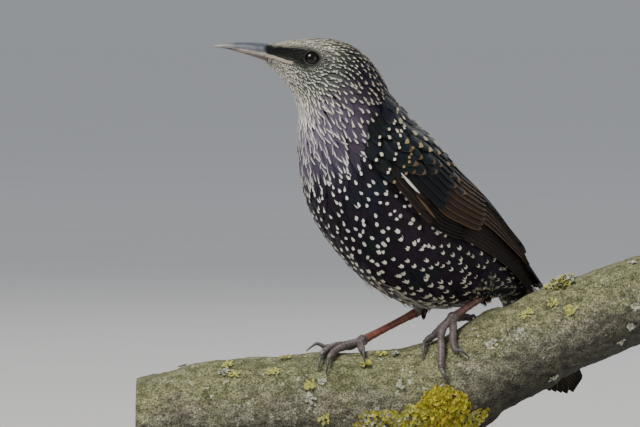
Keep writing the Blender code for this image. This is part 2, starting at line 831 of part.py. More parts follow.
def claw_points(toe):
    """A claw's path: out of the toe's end, over and down to its tip by the perch."""
    x, angle, height = toe.path[-1]
    start = on_perch(x, angle, height)
    middle = [blend((toe.path[-1][i], toe.claw[i]), 0.45) for i in (0, 1)]
    arch = on_perch(*middle, height + CLAW_ARCH)
    tip = on_perch(*toe.claw, 0.75)
    away = (arch - start).normalized()
    return [tuple(start + away * (TOE_RADIUS * 0.5 + GAP)), tuple(arch), tuple(tip)]


def leg_pieces(leg, home, room, torso_room):
    """The thigh, tarsus, foot and claws of one leg."""
    joint, ankle = Vector(leg.joint), Vector(leg.ankle)
    thigh_path = smooth_path([leg.hip, tuple(blend((Vector(leg.hip), ankle), 0.5)), leg.ankle], 7)
    thigh = tube(
        f"thigh_{leg.side}", thigh_path, radii_along(leg.thigh_radii, 8), 5, home, "thigh"
    )
    cut(thigh, torso_room)
    shin = (joint - ankle).normalized()
    length = (joint - ankle).length
    along = [ankle + shin * (length * t) for t in (-0.05, 0.1, 0.3, 0.6, 0.85, 1.0)]
    sizes = [TARSUS_RADIUS * s for s in (1.25, 1.15, 0.95, 0.9, 1.0, 1.15)]
    tarsus = tube(f"tarsus_{leg.side}", along, sizes, 3, home, "leg")
    thigh_room = swollen(thigh, GAP, f"thigh_room_{leg.side}", room.users_collection[0])
    cut(tarsus, thigh_room)
    cut(tarsus, torso_room)
    toes = []
    for toe in leg.toes:
        path = smooth_path(toe_points(toe, leg.joint), 9)
        sizes = [TOE_RADIUS * s for s in (1.3, 1.15, 1.0, 1.05, 0.92, 1.0, 0.88, 0.95, 0.85, 0.55)]
        toes.append(tube(f"toe_{toe.name}_{leg.side}", path, sizes, 2, home))
    bm = bmesh.new()
    bmesh.ops.create_icosphere(bm, subdivisions=2, radius=TOE_RADIUS * 1.75)
    bmesh.ops.translate(bm, vec=joint, verts=bm.verts)
    foot = new_object(f"foot_{leg.side}", bm, home, "foot")
    fused(foot, toes)
    cut(foot, room)
    foot_room = swollen(foot, GAP, f"foot_room_{leg.side}", room.users_collection[0])
    cut(tarsus, foot_room)
    for toe in leg.toes:
        path = smooth_path(claw_points(toe), 6)
        sizes = [CLAW_RADIUS * s for s in (1.0, 0.95, 0.85, 0.7, 0.52, 0.35, 0.16)]
        claw = tube(f"claw_{toe.name}_{leg.side}", path, sizes, 1, home, "claw")
        cut(claw, foot_room)
        cut(claw, room)


def main():
    """Build the bird, its perch and its stand."""
    clear_scene()
    home = collection("starling")
    cutters = collection("cutters")
    cutters.hide_render = True
    head_piece(home, cutters)
    bill_pieces(home, cutters)
    body_piece("neck", HEAD_END, NECK_END, 7, home)
    torso = body_piece("torso", NECK_END, TORSO_END, 18, home)
    torso_room = swollen(torso, GAP, "torso_room", cutters)
    for name, side in (("left", 1), ("right", -1)):
        cut(wing_piece(f"wing_{name}", side, home), torso_room)
    tail_piece(home)
    perch = perch_piece(home)
    room = stand_pieces(home, cutters, perch)
    for leg in (LEFT_LEG, RIGHT_LEG):
        leg_pieces(leg, home, room, torso_room)


main()
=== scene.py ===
"""Looks of a perched starling model: plumage, bill, eyes, legs, perch and display stand.

Sizes and places are in millimetres and become metres where a mesh is made. The bill points to
-X, the bird's left side faces -Y and +Z is up. Places on the body are a station along it, from
the bill's base at 0 to the tail's at 17, and an angle round it from the back, positive on the
bird's left.
"""

import logging
import math
from dataclasses import astuple, dataclass, field, replace
from enum import Enum
from functools import cached_property
from typing import Callable

import bmesh
import bpy
import numpy as np
from mathutils import Matrix, Vector, noise


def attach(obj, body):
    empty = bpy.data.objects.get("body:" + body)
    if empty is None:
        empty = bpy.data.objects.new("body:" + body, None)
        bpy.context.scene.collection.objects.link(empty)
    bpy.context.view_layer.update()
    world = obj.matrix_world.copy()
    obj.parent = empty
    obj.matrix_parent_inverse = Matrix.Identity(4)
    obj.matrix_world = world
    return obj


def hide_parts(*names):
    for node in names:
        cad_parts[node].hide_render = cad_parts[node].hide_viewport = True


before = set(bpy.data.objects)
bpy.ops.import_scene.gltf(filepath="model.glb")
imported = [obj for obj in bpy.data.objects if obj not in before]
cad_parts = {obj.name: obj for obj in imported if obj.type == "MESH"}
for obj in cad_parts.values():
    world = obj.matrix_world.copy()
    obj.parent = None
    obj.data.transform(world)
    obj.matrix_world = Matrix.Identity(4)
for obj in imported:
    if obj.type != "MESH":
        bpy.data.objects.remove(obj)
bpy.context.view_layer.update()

LOG = logging.getLogger("starling")
MM = 0.001
CLAW_ROOT, CLAW_TIP = (0.150, 0.132, 0.132, 1.0), (0.030, 0.028, 0.030, 1.0)
HIDDEN_MARK = (1.5, 0.0, 1.0)
WHOLE_MARK = (0.9, 0.0, 1.0)
Array = np.ndarray
BMesh = bmesh.types.BMesh
Material = bpy.types.Material
NodeSocket = bpy.types.NodeSocket


class Tone(Enum):
    """The colours of the finishes, as sRGB in hexadecimal."""

    BLACK = "050506"
    SOOT = "0c0b0e"
    NAPE = "0b0b0d"
    TEAL_BLACK = "0a1013"
    BLUE_BLACK = "0e0f17"
    PURPLE_BLACK = "17111d"
    # Painted sheen: the lilac and mauve stand for the gloss and sky reflection on the neck's
    # blackish-purple hackles, painted into their colour.
    LILAC = "877c95"
    MAUVE = "6e5770"
    LORE = "020202"
    CROWN = "2b2721"
    CROWN_TIP = "927d58"
    CHEEK = "424a44"
    EAR = "2a312d"
    SPECK = "d4d1c2"
    BROW = "77756b"
    CREAM = "d9d2bd"
    WHITE = "eeebe5"
    CHIN = "8f897e"
    THROAT = "4f4a46"
    BROWN_GREY = "4b433b"
    BUFF = "9c8660"
    GOLD = "604b33"
    GREY_TIP = "a49c94"
    BROWN = "35261a"
    WARM = "5e462c"
    DARK_BROWN = "241b15"
    RUST = "453526"
    SLATE = "24272f"
    VENT = "3b372c"
    OLIVE_CREAM = "a09a80"
    DOWN = "9c978c"
    YELLOW = "c4bb38"
    ORANGE = "b89a2c"
    GREEN_YELLOW = "c3c268"
    PALE_CRUST = "b9bba6"

    @property
    def linear(self) -> tuple[float, float, float]:
        """The colour as linear red, green and blue."""
        parts = [int(self.value[i : i + 2], 16) / 255 for i in (0, 2, 4)]
        return tuple(p / 12.92 if p <= 0.04045 else ((p + 0.055) / 1.055) ** 2.4 for p in parts)


@dataclass(frozen=True)
class Section:
    """An ellipse across a limb or the body: centre, slope, turn and half sizes."""

    x: float
    y: float
    z: float
    pitch: float
    yaw: float
    half_width: float
    half_depth: float

    @property
    def centre(self) -> Array:
        """The ellipse's centre."""
        return np.array((self.x, self.y, self.z))

    @property
    def axes(self) -> tuple[Array, Array, Array]:
        """Directions towards the tail, out of the back and to the bird's left."""
        pitch, yaw = math.radians(self.pitch), math.radians(self.yaw)
        flat, up = np.array((math.cos(yaw), math.sin(yaw), 0.0)), np.array((0.0, 0.0, 1.0))
        tailward = flat * math.cos(pitch) - up * math.sin(pitch)
        upward = flat * math.sin(pitch) + up * math.cos(pitch)
        return tailward, upward, np.array((math.sin(yaw), -math.cos(yaw), 0.0))


@dataclass(frozen=True)
class Loft:
    """A smooth surface through elliptical sections."""

    sections: tuple[Section, ...]

    @cached_property
    def table(self) -> Array:
        """The sections as rows of numbers."""
        return np.array([astuple(section) for section in self.sections])

    @property
    def last(self) -> float:
        """The place of the last section."""
        return float(len(self.sections) - 1)

    @staticmethod
    def along(points: list[Vector], radii: list[float]) -> "Loft":
        """A loft of round sections along a path.

        Args:
            points: The path's points.
            radii: The radius at each of them.

        Returns:
            The loft.
        """
        made = []
        for i, (point, radius) in enumerate(zip(points, radii)):
            way = points[min(i + 1, len(points) - 1)] - points[max(i - 1, 0)]
            pitch = math.degrees(math.atan2(-way.z, math.hypot(way.x, way.y)))
            yaw = math.degrees(math.atan2(way.y, way.x))
            made.append(Section(*point, pitch, yaw, radius, radius))
        return Loft(tuple(made))

    def values(self, place: Array) -> Array:
        """The sections' numbers at fractional places, carried straight on past the ends.

        Args:
            place: Places along the body.

        Returns:
            One row of the sections' seven numbers for each place.
        """
        table, last = self.table, len(self.table) - 1
        inside = np.clip(place, 0, last)
        index = np.minimum(inside.astype(int), last - 1)
        t = (inside - index)[..., None]
        before, near = table[np.maximum(index - 1, 0)], table[index]
        far, after = table[index + 1], table[np.minimum(index + 2, last)]
        value = (
            before * (-t + 2 * t**2 - t**3)
            + near * (2 - 5 * t**2 + 3 * t**3)
            + far * (t + 4 * t**2 - 3 * t**3)
            + after * (t**3 - t**2)
        ) / 2
        beyond = (place - inside)[..., None]
        step = np.where(beyond > 0, table[-1] - table[-2], table[1] - table[0])
        carried = np.array([1.0, 1.0, 1.0, 0.0, 0.0, 0.2, 0.2])
        return value + beyond * step * carried

    def point(self, place: Array, angle: Array, height: Array = 0.0, squeeze: Array = 1.0) -> Array:
        """Points of the surface.

        Args:
            place: Fractional section indices.
            angle: Degrees from the back.
            height: How far outside the surface.
            squeeze: A factor on the distance from the axis, which closes an end.

        Returns:
            The points, in the last axis.
        """
        place, angle, height, squeeze = np.broadcast_arrays(place, angle, height, squeeze)
        value = self.values(place.astype(float))
        pitch, yaw, turn = np.radians(value[..., 3]), np.radians(value[..., 4]), np.radians(angle)
        up = np.stack([np.sin(pitch) * np.cos(yaw), np.sin(pitch) * np.sin(yaw), np.cos(pitch)], -1)
        left = np.stack([np.sin(yaw), -np.cos(yaw), 0 * yaw], -1)
        across = np.maximum(value[..., 5] + height, 0.3) * np.sin(turn) * squeeze
        rise = np.maximum(value[..., 6] + height, 0.3) * np.cos(turn) * squeeze
        return value[..., :3] + left * across[..., None] + up * rise[..., None]

    def metric(self, place: Array, angle: Array) -> tuple[Array, Array]:
        """Millimetres for a step of one place, and for a degree, at points of the surface.

        Args:
            place: Places along the body.
            angle: Degrees from the back.

        Returns:
            Both lengths, for each point.
        """
        step = 0.05
        along = self.point(place + step, angle) - self.point(place - step, angle)
        round_it = self.point(place, angle + 1) - self.point(place, angle - 1)
        return (
            np.maximum(np.linalg.norm(along, axis=-1) / (2 * step), 1.0),
            np.maximum(np.linalg.norm(round_it, axis=-1) / 2, 0.01),
        )

    def section(self, place: float) -> Section:
        """The section at a fractional place."""
        return Section(*self.values(np.array([place]))[0])

    def tube(self, sides: int, rings: int, height: float = 0.0, ends: float = 0.05) -> BMesh:
        """The surface as a closed shape with rounded ends.

        Args:
            sides: Faces round it.
            rings: Faces along it.
            height: How far outside the surface it lies.
            ends: The share of the length that each end is rounded over.

        Returns:
            A closed bmesh, in millimetres.
        """
        def place_of(across: Array, along: Array) -> Array:
            """The surface's points, from 0..1 across and along."""
            return self.point(along * self.last, across * 360, height, domed(along, ends))

        return wrapped(sides, rings, place_of)

    def girth(self, place: float) -> float:
        """The length of the way round at a place."""
        ring = self.point(np.full(73, place), np.linspace(0, 360, 73))
        return float(np.linalg.norm(np.diff(ring, axis=0), axis=-1).sum())

    def nearest(self, point: Vector, first: float, last: float) -> tuple[float, float]:
        """The place and angle of the surface nearest to a point, on the side that it is on.

        Args:
            point: A place in millimetres.
            first: The lowest place to look at.
            last: The highest one.

        Returns:
            The place and the angle.
        """
        places, angles = np.meshgrid(np.linspace(first, last, 121), np.arange(-180.0, 180.0, 1.0))
        gap = np.linalg.norm(self.point(places, angles) - np.array(point), axis=-1)
        best = np.unravel_index(gap.argmin(), gap.shape)
        return float(places[best]), float(angles[best])


BODY = Loft(
    (
        Section(-52.1, -27.0, 191.9, 8.6, 3.0, 4.4, 4.7),
        Section(-47.2, -26.8, 190.2, 10.0, 4.0, 7.2, 7.6),
        Section(-42.4, -26.5, 188.2, 15.0, 4.0, 9.2, 10.7),
        Section(-37.7, -26.2, 185.9, 21.0, 5.0, 10.6, 13.9),
        Section(-33.1, -25.7, 182.7, 29.0, 7.0, 12.3, 17.2),
        Section(-29.6, -25.0, 177.9, 36.5, 12.0, 14.2, 20.6),
        Section(-26.7, -24.0, 172.0, 42.0, 19.0, 16.2, 22.8),
        Section(-24.2, -22.6, 165.4, 45.0, 26.0, 18.2, 24.4),
        Section(-22.0, -20.8, 157.9, 46.0, 31.0, 20.0, 25.3),
        Section(-18.7, -18.3, 149.2, 46.0, 34.0, 22.0, 26.6),
        Section(-13.0, -14.4, 141.1, 46.0, 36.0, 23.6, 28.6),
        Section(-6.6, -9.8, 133.3, 46.0, 36.0, 24.2, 29.6),
        Section(0.4, -4.7, 125.3, 45.0, 36.0, 24.2, 29.8),
        Section(7.8, 0.7, 117.8, 44.0, 36.0, 23.5, 29.0),
        Section(15.5, 6.3, 110.5, 43.0, 36.0, 21.5, 26.2),
        Section(24.0, 12.5, 103.5, 43.0, 36.0, 18.0, 21.0),
        Section(33.5, 19.4, 98.5, 46.0, 36.0, 13.5, 14.5),
        Section(46.4, 28.7, 95.5, 57.0, 36.0, 8.5, 6.5),
    )
)
WING_SIDE = Loft(
    (
        Section(-21.7, -20.6, 158.3, 46.0, 31.0, 22.5, 26.5),
        Section(-18.0, -18.0, 149.9, 46.0, 34.0, 25.5, 27.5),
        Section(-12.3, -13.9, 141.9, 46.0, 36.0, 27.5, 29.5),
        Section(-6.0, -9.3, 134.1, 46.0, 36.0, 28.0, 30.0),
        Section(1.0, -4.3, 126.1, 45.0, 36.0, 28.0, 29.7),
        Section(12.6, 4.2, 119.9, 45.0, 36.0, 27.0, 25.2),
        Section(21.2, 10.4, 115.6, 45.0, 36.0, 23.5, 21.3),
        Section(30.0, 16.8, 110.6, 45.0, 36.0, 19.5, 17.2),
        Section(39.0, 23.4, 104.3, 45.0, 36.0, 16.0, 14.0),
        Section(44.0, 27.0, 99.0, 46.0, 36.0, 14.5, 11.6),
        Section(56.0, 35.7, 86.0, 48.0, 36.0, 12.5, 8.5),
    )
)


def smoothstep(low: float, high: float, value: Array) -> Array:
    """0 below low, 1 above high and a smooth rise between."""
    t = np.clip((np.asarray(value, float) - low) / (high - low), 0, 1)
    return t * t * (3 - 2 * t)


def blend(one: float, other: float, t: Array) -> Array:
    """A value part of the way from one to the other."""
    return one + (other - one) * t


def from_back(angle: Array) -> Array:
    """Degrees from the back, on either side."""
    return np.abs((angle + 180) % 360 - 180)


def staggered(count: int, row: int) -> Array:
    """Angles evenly round a limb, half a step further in every other row."""
    return (np.arange(count) + 0.5 * (row % 2)) * 360 / count


def smooth_path(points: list[tuple], steps: int) -> list[Vector]:
    """Points along a smooth curve through a few places.

    Args:
        points: The few places.
        steps: How many steps the curve is cut into.

    Returns:
        steps + 1 points.
    """
    few = Loft(tuple(Section(*point, 0, 0, 1, 1) for point in points))
    return [Vector(row[:3]) for row in few.values(np.linspace(0, few.last, steps + 1))]


class Graph:
    """A shader node tree, written as nested calls."""

    def __init__(self, tree: bpy.types.NodeTree) -> None:
        """Keep the tree that nodes are added to."""
        self.tree = tree

    def put(self, socket: NodeSocket, value: object) -> None:
        """Link an output to a socket, or set its value.

        Args:
            socket: The input.
            value: An output, a colour or a number.
        """
        if isinstance(value, NodeSocket):
            self.tree.links.new(value, socket)
        elif isinstance(value, tuple) and len(value) == 3 and socket.type == "RGBA":
            socket.default_value = (*value, 1.0)
        else:
            socket.default_value = value

    def add(self, kind: str, settings: dict | None = None, **inputs: object) -> bpy.types.Node:
        """Add a node.

        Args:
            kind: The node's type, without its ShaderNode prefix.
            settings: Its properties.
            inputs: Its inputs by name, with _ for a space.

        Returns:
            The node.
        """
        node = self.tree.nodes.new("ShaderNode" + kind)
        for key, value in (settings or {}).items():
            setattr(node, key, value)
        for key, value in inputs.items():
            self.put(node.inputs[key.replace("_", " ")], value)
        return node

    def calc(self, operation: str, *values: object) -> NodeSocket:
        """The result of a Math node.

        Args:
            operation: What the node does.
            values: Its inputs, as outputs or numbers.

        Returns:
            The node's output.
        """
        node = self.add("Math", {"operation": operation})
        for socket, value in zip(node.inputs, values):
            self.put(socket, value)
        return node.outputs[0]

    def times(self, one: object, other: object) -> NodeSocket:
        """The product of two values."""
        return self.calc("MULTIPLY", one, other)

    def plus(self, one: object, other: object) -> NodeSocket:
        """The sum of two values."""
        return self.calc("ADD", one, other)

    def minus(self, one: object, other: object) -> NodeSocket:
        """The first value less the second."""
        return self.calc("SUBTRACT", one, other)

    def ramp(self, value: object, low: float, high: float, *ends: float) -> NodeSocket:
        """A smooth step of a value from low to high, onto 0..1 or other ends.

        Args:
            value: What is stepped.
            low: Where the step starts.
            high: Where it ends.
            ends: The results at its start and end, if not 0 and 1.

        Returns:
            The node's output.
        """
        node = self.add("MapRange", {"interpolation_type": "SMOOTHSTEP"})
        for socket, part in zip(node.inputs, (value, low, high, *ends)):
            self.put(socket, part)
        return node.outputs[0]

    def mix(self, amount: object, one: object, other: object, kind: str = "MIX") -> NodeSocket:
        """Two colours mixed.

        Args:
            amount: The share of the other colour.
            one: A colour.
            other: The other colour.
            kind: How they are blended.

        Returns:
            The node's output.
        """
        node = self.add("Mix", {"data_type": "RGBA", "blend_type": kind})
        for index, value in ((0, amount), (6, one), (7, other)):
            self.put(node.inputs[index], value)
        return node.outputs[2]

    def shaded(self, colour: object, shade: object) -> NodeSocket:
        """A colour times a factor that changes over the surface."""
        grey = self.add("CombineXYZ", X=shade, Y=shade, Z=shade).outputs[0]
        return self.mix(1.0, colour, grey, "MULTIPLY")

    def length(self, vector: NodeSocket) -> NodeSocket:
        """The length of a vector."""
        return self.add("VectorMath", {"operation": "LENGTH"}, Vector=vector).outputs["Value"]

    def where(self) -> NodeSocket:
        """Object coordinates."""
        return self.add("TexCoord").outputs["Object"]

    def grain(self, scale: float, detail: float = 3.0, stretch: tuple | None = None) -> NodeSocket:
        """Noise over the object, its scale in features for each metre.

        Args:
            scale: Features for each metre.
            detail: How many finer layers it has.
            stretch: Factors on the coordinates.

        Returns:
            The node's output.
        """
        place = self.where()
        if stretch:
            mapped = self.add("Mapping", Vector=place)
            mapped.inputs["Scale"].default_value = stretch
            place = mapped.outputs[0]
        return self.add("TexNoise", Vector=place, Scale=scale, Detail=detail).outputs[0]

    def attribute(self, name: str, output: str = "Color") -> NodeSocket:
        """A named attribute of the mesh."""
        return self.add("Attribute", {"attribute_name": name}).outputs[output]


class EffectGroup:
    """A shader node group that more than one material uses, built once."""

    def __init__(
        self, name: str, inputs: dict[str, float], outputs: dict[str, str], build: Callable
    ) -> None:
        """Make the group.

        Args:
            name: The group's name.
            inputs: Its number inputs and their defaults.
            outputs: Its outputs and their socket types.
            build: Fills a Graph, given the group's inputs, and returns its outputs by name.
        """
        self.tree = bpy.data.node_groups.new(name, "ShaderNodeTree")
        for key, value in inputs.items():
            socket = self.tree.interface.new_socket(key, in_out="INPUT", socket_type="NodeSocketFloat")
            socket.default_value = value
        for key, kind in outputs.items():
            self.tree.interface.new_socket(key, in_out="OUTPUT", socket_type="NodeSocket" + kind)
        graph = Graph(self.tree)
        made = build(graph, self.tree.nodes.new("NodeGroupInput").outputs)
        end = self.tree.nodes.new("NodeGroupOutput")
        for key, value in made.items():
            graph.put(end.inputs[key], value)

    def use(self, graph: Graph, **values: object) -> bpy.types.Node:
        """Place the group in a material, with its own values."""
        return graph.add("Group", {"node_tree": self.tree}, **values)


def build_vane(graph: Graph, inputs: object) -> dict[str, object]:
    """The markings and barbs of feathers, from their own map and attributes.

    Args:
        graph: The group's graph.
        inputs: Barbs, the number of barbs along a feather, and Streak, how uneven they are.

    Returns:
        Color, Pale (1 on the pale marks) and Height.
    """
    base, tip, edge = (graph.attribute(name) for name in ("Base", "Tip", "Edge"))
    start, notch, width = graph.add("SeparateXYZ", Vector=graph.attribute("Mark", "Vector")).outputs
    rim, fringe_width = graph.attribute("Rim", "Fac"), graph.attribute("Edge", "Alpha")
    vane = graph.add("SeparateXYZ", Vector=graph.add("UVMap", {"uv_map": "Vane"}).outputs[0]).outputs
    aside = graph.calc("ABSOLUTE", vane[0])
    rough = graph.times(graph.minus(graph.grain(1500.0, 2.0), 0.5), 0.5)
    inside = graph.calc("DIVIDE", aside, width)
    rest = graph.calc("MAXIMUM", graph.minus(1.0, start), 0.02)
    begun = graph.calc("DIVIDE", graph.minus(vane[1], start), rest)
    highest = graph.calc("MAXIMUM", notch, 0.0)
    line = graph.minus(highest, graph.times(notch, inside))
    over = graph.ramp(graph.plus(graph.minus(begun, line), rough), -0.12, 0.12)
    pale = graph.times(over, graph.ramp(graph.plus(inside, rough), 0.85, 1.1, 1.0, 0.0))
    inner = graph.minus(1.0, fringe_width)
    outer = graph.minus(graph.calc("MULTIPLY_ADD", rough, 0.3, rim), inner)
    fringe = graph.ramp(outer, 0.0, 0.08)
    colour = graph.mix(pale, graph.mix(fringe, base, edge), tip)
    slant = graph.plus(vane[1], graph.times(aside, -0.33))
    phase = graph.times(slant, graph.times(inputs["Barbs"], math.tau))
    barb = graph.calc("MULTIPLY_ADD", graph.calc("SINE", phase), 0.5, 0.5)
    shaft = graph.ramp(aside, 0.02, 0.07, 1.0, 0.0)
    stretched = [graph.times(part, scale) for part, scale in zip(vane, (7.0, 1.5))]
    spread = graph.add("CombineXYZ", X=stretched[0], Y=stretched[1])
    moved = graph.add("VectorMath", {"operation": "MULTIPLY_ADD"})
    for socket, value in zip(moved.inputs, (graph.where(), (150.0, 150.0, 150.0), spread.outputs[0])):
        graph.put(socket, value)
    streaks = graph.add("TexNoise", Vector=moved.outputs[0], Scale=1.0, Detail=2.0).outputs[0]
    strand = graph.minus(streaks, 0.5)
    uneven = graph.calc("MULTIPLY_ADD", strand, graph.times(inputs["Streak"], 4.0), 1.0)
    barred = graph.ramp(barb, 0.0, 1.0, 0.84, 1.08)
    shade = graph.times(graph.calc("MAXIMUM", uneven, 0.15), barred)
    barbed = graph.calc("MULTIPLY_ADD", barb, 0.4, strand)
    height = graph.plus(barbed, graph.times(shaft, 0.8))
    marked = graph.calc("MAXIMUM", pale, fringe)
    return {"Color": graph.shaded(colour, shade), "Pale": marked, "Height": height}


def build_sheen(graph: Graph, inputs: object) -> dict[str, object]:
    """Patches of painted green, blue and purple sheen, which follow the body.

    Args:
        graph: The group's graph.
        inputs: Purple, how much of the gloss is purple.

    Returns:
        Color.
    """
    patch = graph.plus(graph.grain(60.0, 3.0), graph.minus(inputs["Purple"], 0.5))
    cool = graph.mix(graph.ramp(graph.grain(170.0), 0.4, 0.6), (0.005, 0.022, 0.017), (0.006, 0.012, 0.030))
    warm = graph.mix(graph.ramp(graph.grain(230.0), 0.4, 0.6), (0.022, 0.009, 0.030), (0.012, 0.006, 0.014))
    return {"Color": graph.mix(graph.ramp(patch, 0.42, 0.62), cool, warm)}


def build_grime(graph: Graph, inputs: object) -> dict[str, object]:
    """Uneven shade and fine pits, for horn, scales, wood and metal.

    Args:
        graph: The group's graph.
        inputs: Scale in features for each metre, and Depth, how dark the shade is.

    Returns:
        Shade, a factor on the colour, and Height.
    """
    place = graph.where()
    broad = graph.add("TexNoise", Vector=place, Scale=inputs["Scale"], Detail=4.0).outputs[0]
    close = graph.times(inputs["Scale"], 6.0)
    fine = graph.add("TexNoise", Vector=place, Scale=close, Detail=3.0).outputs[0]
    both = graph.plus(graph.times(broad, 0.6), graph.times(fine, 0.4))
    lowest = graph.minus(1.0, inputs["Depth"])
    return {"Shade": graph.ramp(both, 0.35, 0.65, lowest, 1.1), "Height": both}


class Effects:
    """The node groups that the finishes share."""

    def __init__(self) -> None:
        """Build each group once."""
        self.vane = EffectGroup(
            "vane_markings",
            {"Barbs": 20.0, "Streak": 0.2},
            {"Color": "Color", "Pale": "Float", "Height": "Float"},
            build_vane,
        )
        self.sheen = EffectGroup("gloss_patches", {"Purple": 0.5}, {"Color": "Color"}, build_sheen)
        self.grime = EffectGroup(
            "uneven_shade",
            {"Scale": 200.0, "Depth": 0.3},
            {"Shade": "Float", "Height": "Float"},
            build_grime,
        )


EFFECTS = Effects()


class Finish:
    """A Principled material being made."""

    def __init__(self, name: str, **constants: object) -> None:
        """Start a material and set its shader's constant inputs.

        Args:
            name: The material's name.
            constants: The inputs, with _ for a space.
        """
        self.material = bpy.data.materials.new(name)
        self.material.use_nodes = True
        self.graph = Graph(self.material.node_tree)
        self.shader = self.material.node_tree.nodes["Principled BSDF"]
        for key, value in constants.items():
            self.graph.put(self.shader.inputs[key.replace("_", " ")], value)

    def set(self, **inputs: object) -> None:
        """Set or link inputs of the shader."""
        for key, value in inputs.items():
            self.graph.put(self.shader.inputs[key.replace("_", " ")], value)

    def bump(self, height: object, distance: float, strength: float = 1.0) -> None:
        """Raise the surface by a height, its distance in millimetres."""
        node = self.graph.add("Bump", Height=height, Distance=distance * MM, Strength=strength)
        self.set(Normal=node.outputs[0])


@dataclass(frozen=True)
class PlumageFinish:
    """Feathers: their markings and barbs, with painted sheen in the colour of the dark parts."""

    name: str
    barbs: float = 20.0
    streak: float = 0.2
    purple: float = 0.5
    gloss: float = 0.38
    roughness: float = 0.46
    relief: float = 0.12
    specular: float = 0.2

    def make(self) -> Material:
        """Make the material."""
        finish = Finish(self.name, Specular_IOR_Level=self.specular)
        graph = finish.graph
        vane = EFFECTS.vane.use(graph, Barbs=self.barbs, Streak=self.streak).outputs
        sheen = EFFECTS.sheen.use(graph, Purple=self.purple).outputs["Color"]
        brightest = graph.add("SeparateColor", {"mode": "HSV"}, Color=vane["Color"]).outputs[2]
        dim = graph.ramp(brightest, 0.008, 0.05, 1.0, 0.0)
        lit = graph.times(dim, graph.ramp(brightest, 0.0007, 0.0014))
        dark = graph.times(lit, self.gloss)
        # Painted sheen: gloss colours mixed into the dark feathers' base colour; the metallic share also
        # tints their reflection.
        finish.set(Base_Color=graph.mix(dark, vane["Color"], sheen))
        finish.set(Metallic=graph.times(dark, 0.6))
        wide = graph.ramp(graph.grain(900.0, 3.0), 0.3, 0.7, self.roughness - 0.1, self.roughness + 0.1)
        finish.set(Roughness=graph.plus(wide, graph.times(vane["Pale"], 0.15)))
        finish.bump(vane["Height"], self.relief)
        return finish.material


@dataclass(frozen=True)
class SkinFinish:
    """The bird's skin under its feathers, dark with down."""

    name: str = "skin"

    def make(self) -> Material:
        """Make the material."""
        finish = Finish(self.name, Roughness=0.8)
        grime = EFFECTS.grime.use(finish.graph, Scale=500.0, Depth=0.5).outputs
        finish.set(Base_Color=finish.graph.shaded(Tone.SOOT.linear, grime["Shade"]))
        finish.bump(grime["Height"], 0.3)
        return finish.material


@dataclass(frozen=True)
class HornFinish:
    """The bill's horn, whose colour runs along it by the Horn attribute."""

    name: str
    roughness: float = 0.34

    def make(self) -> Material:
        """Make the material."""
        finish = Finish(self.name)
        graph = finish.graph
        grime = EFFECTS.grime.use(graph, Scale=420.0, Depth=0.28).outputs
        streak = graph.ramp(graph.grain(1800.0, 3.0, (0.12, 1.0, 1.0)), 0.3, 0.7, 0.84, 1.1)
        shade = graph.times(grime["Shade"], streak)
        finish.set(Base_Color=graph.shaded(graph.attribute("Horn"), shade))
        ends = self.roughness - 0.08, self.roughness + 0.14
        finish.set(Roughness=graph.ramp(grime["Height"], 0.3, 0.7, *ends))
        finish.bump(graph.plus(grime["Height"], graph.times(streak, 0.5)), 0.08)
        return finish.material


@dataclass(frozen=True)
class EyeFinish:
    """A wet eye: a black pupil in a very dark brown iris, by the Dial attribute."""

    name: str = "eye"
    pupil: float = 0.5

    def make(self) -> Material:
        """Make the material."""
        finish = Finish(self.name, Roughness=0.05, IOR=1.38)
        graph = finish.graph
        dial = graph.attribute("Dial", "Vector")
        radius = graph.length(dial)
        fibres = graph.add("TexNoise", Vector=dial, Scale=9.0, Detail=3.0).outputs[0]
        brown = graph.mix(fibres, (0.004, 0.002, 0.001), (0.010, 0.005, 0.003))
        outside = graph.ramp(radius, self.pupil - 0.03, self.pupil + 0.03)
        finish.set(Base_Color=graph.mix(outside, (0.002, 0.002, 0.002), brown))
        return finish.material


@dataclass(frozen=True)
class ScaleFinish:
    """Scaled or bare skin: two tones mixed by noise, darker in its grooves by the Groove attribute."""

    name: str
    tone: tuple[float, float, float]
    second: tuple[float, float, float]
    groove: tuple[float, float, float]
    roughness: float = 0.45

    def make(self) -> Material:
        """Make the material."""
        finish = Finish(self.name)
        graph = finish.graph
        grime = EFFECTS.grime.use(graph, Scale=700.0, Depth=0.3).outputs
        mixed = graph.mix(graph.ramp(graph.grain(160.0), 0.4, 0.6), self.tone, self.second)
        low = graph.ramp(graph.attribute("Groove", "Fac"), 0.0, 1.0)
        finish.set(Base_Color=graph.shaded(graph.mix(low, mixed, self.groove), grime["Shade"]))
        ends = self.roughness - 0.1, self.roughness + 0.12
        finish.set(Roughness=graph.ramp(grime["Height"], 0.3, 0.7, *ends))
        finish.bump(grime["Height"], 0.1)
        return finish.material


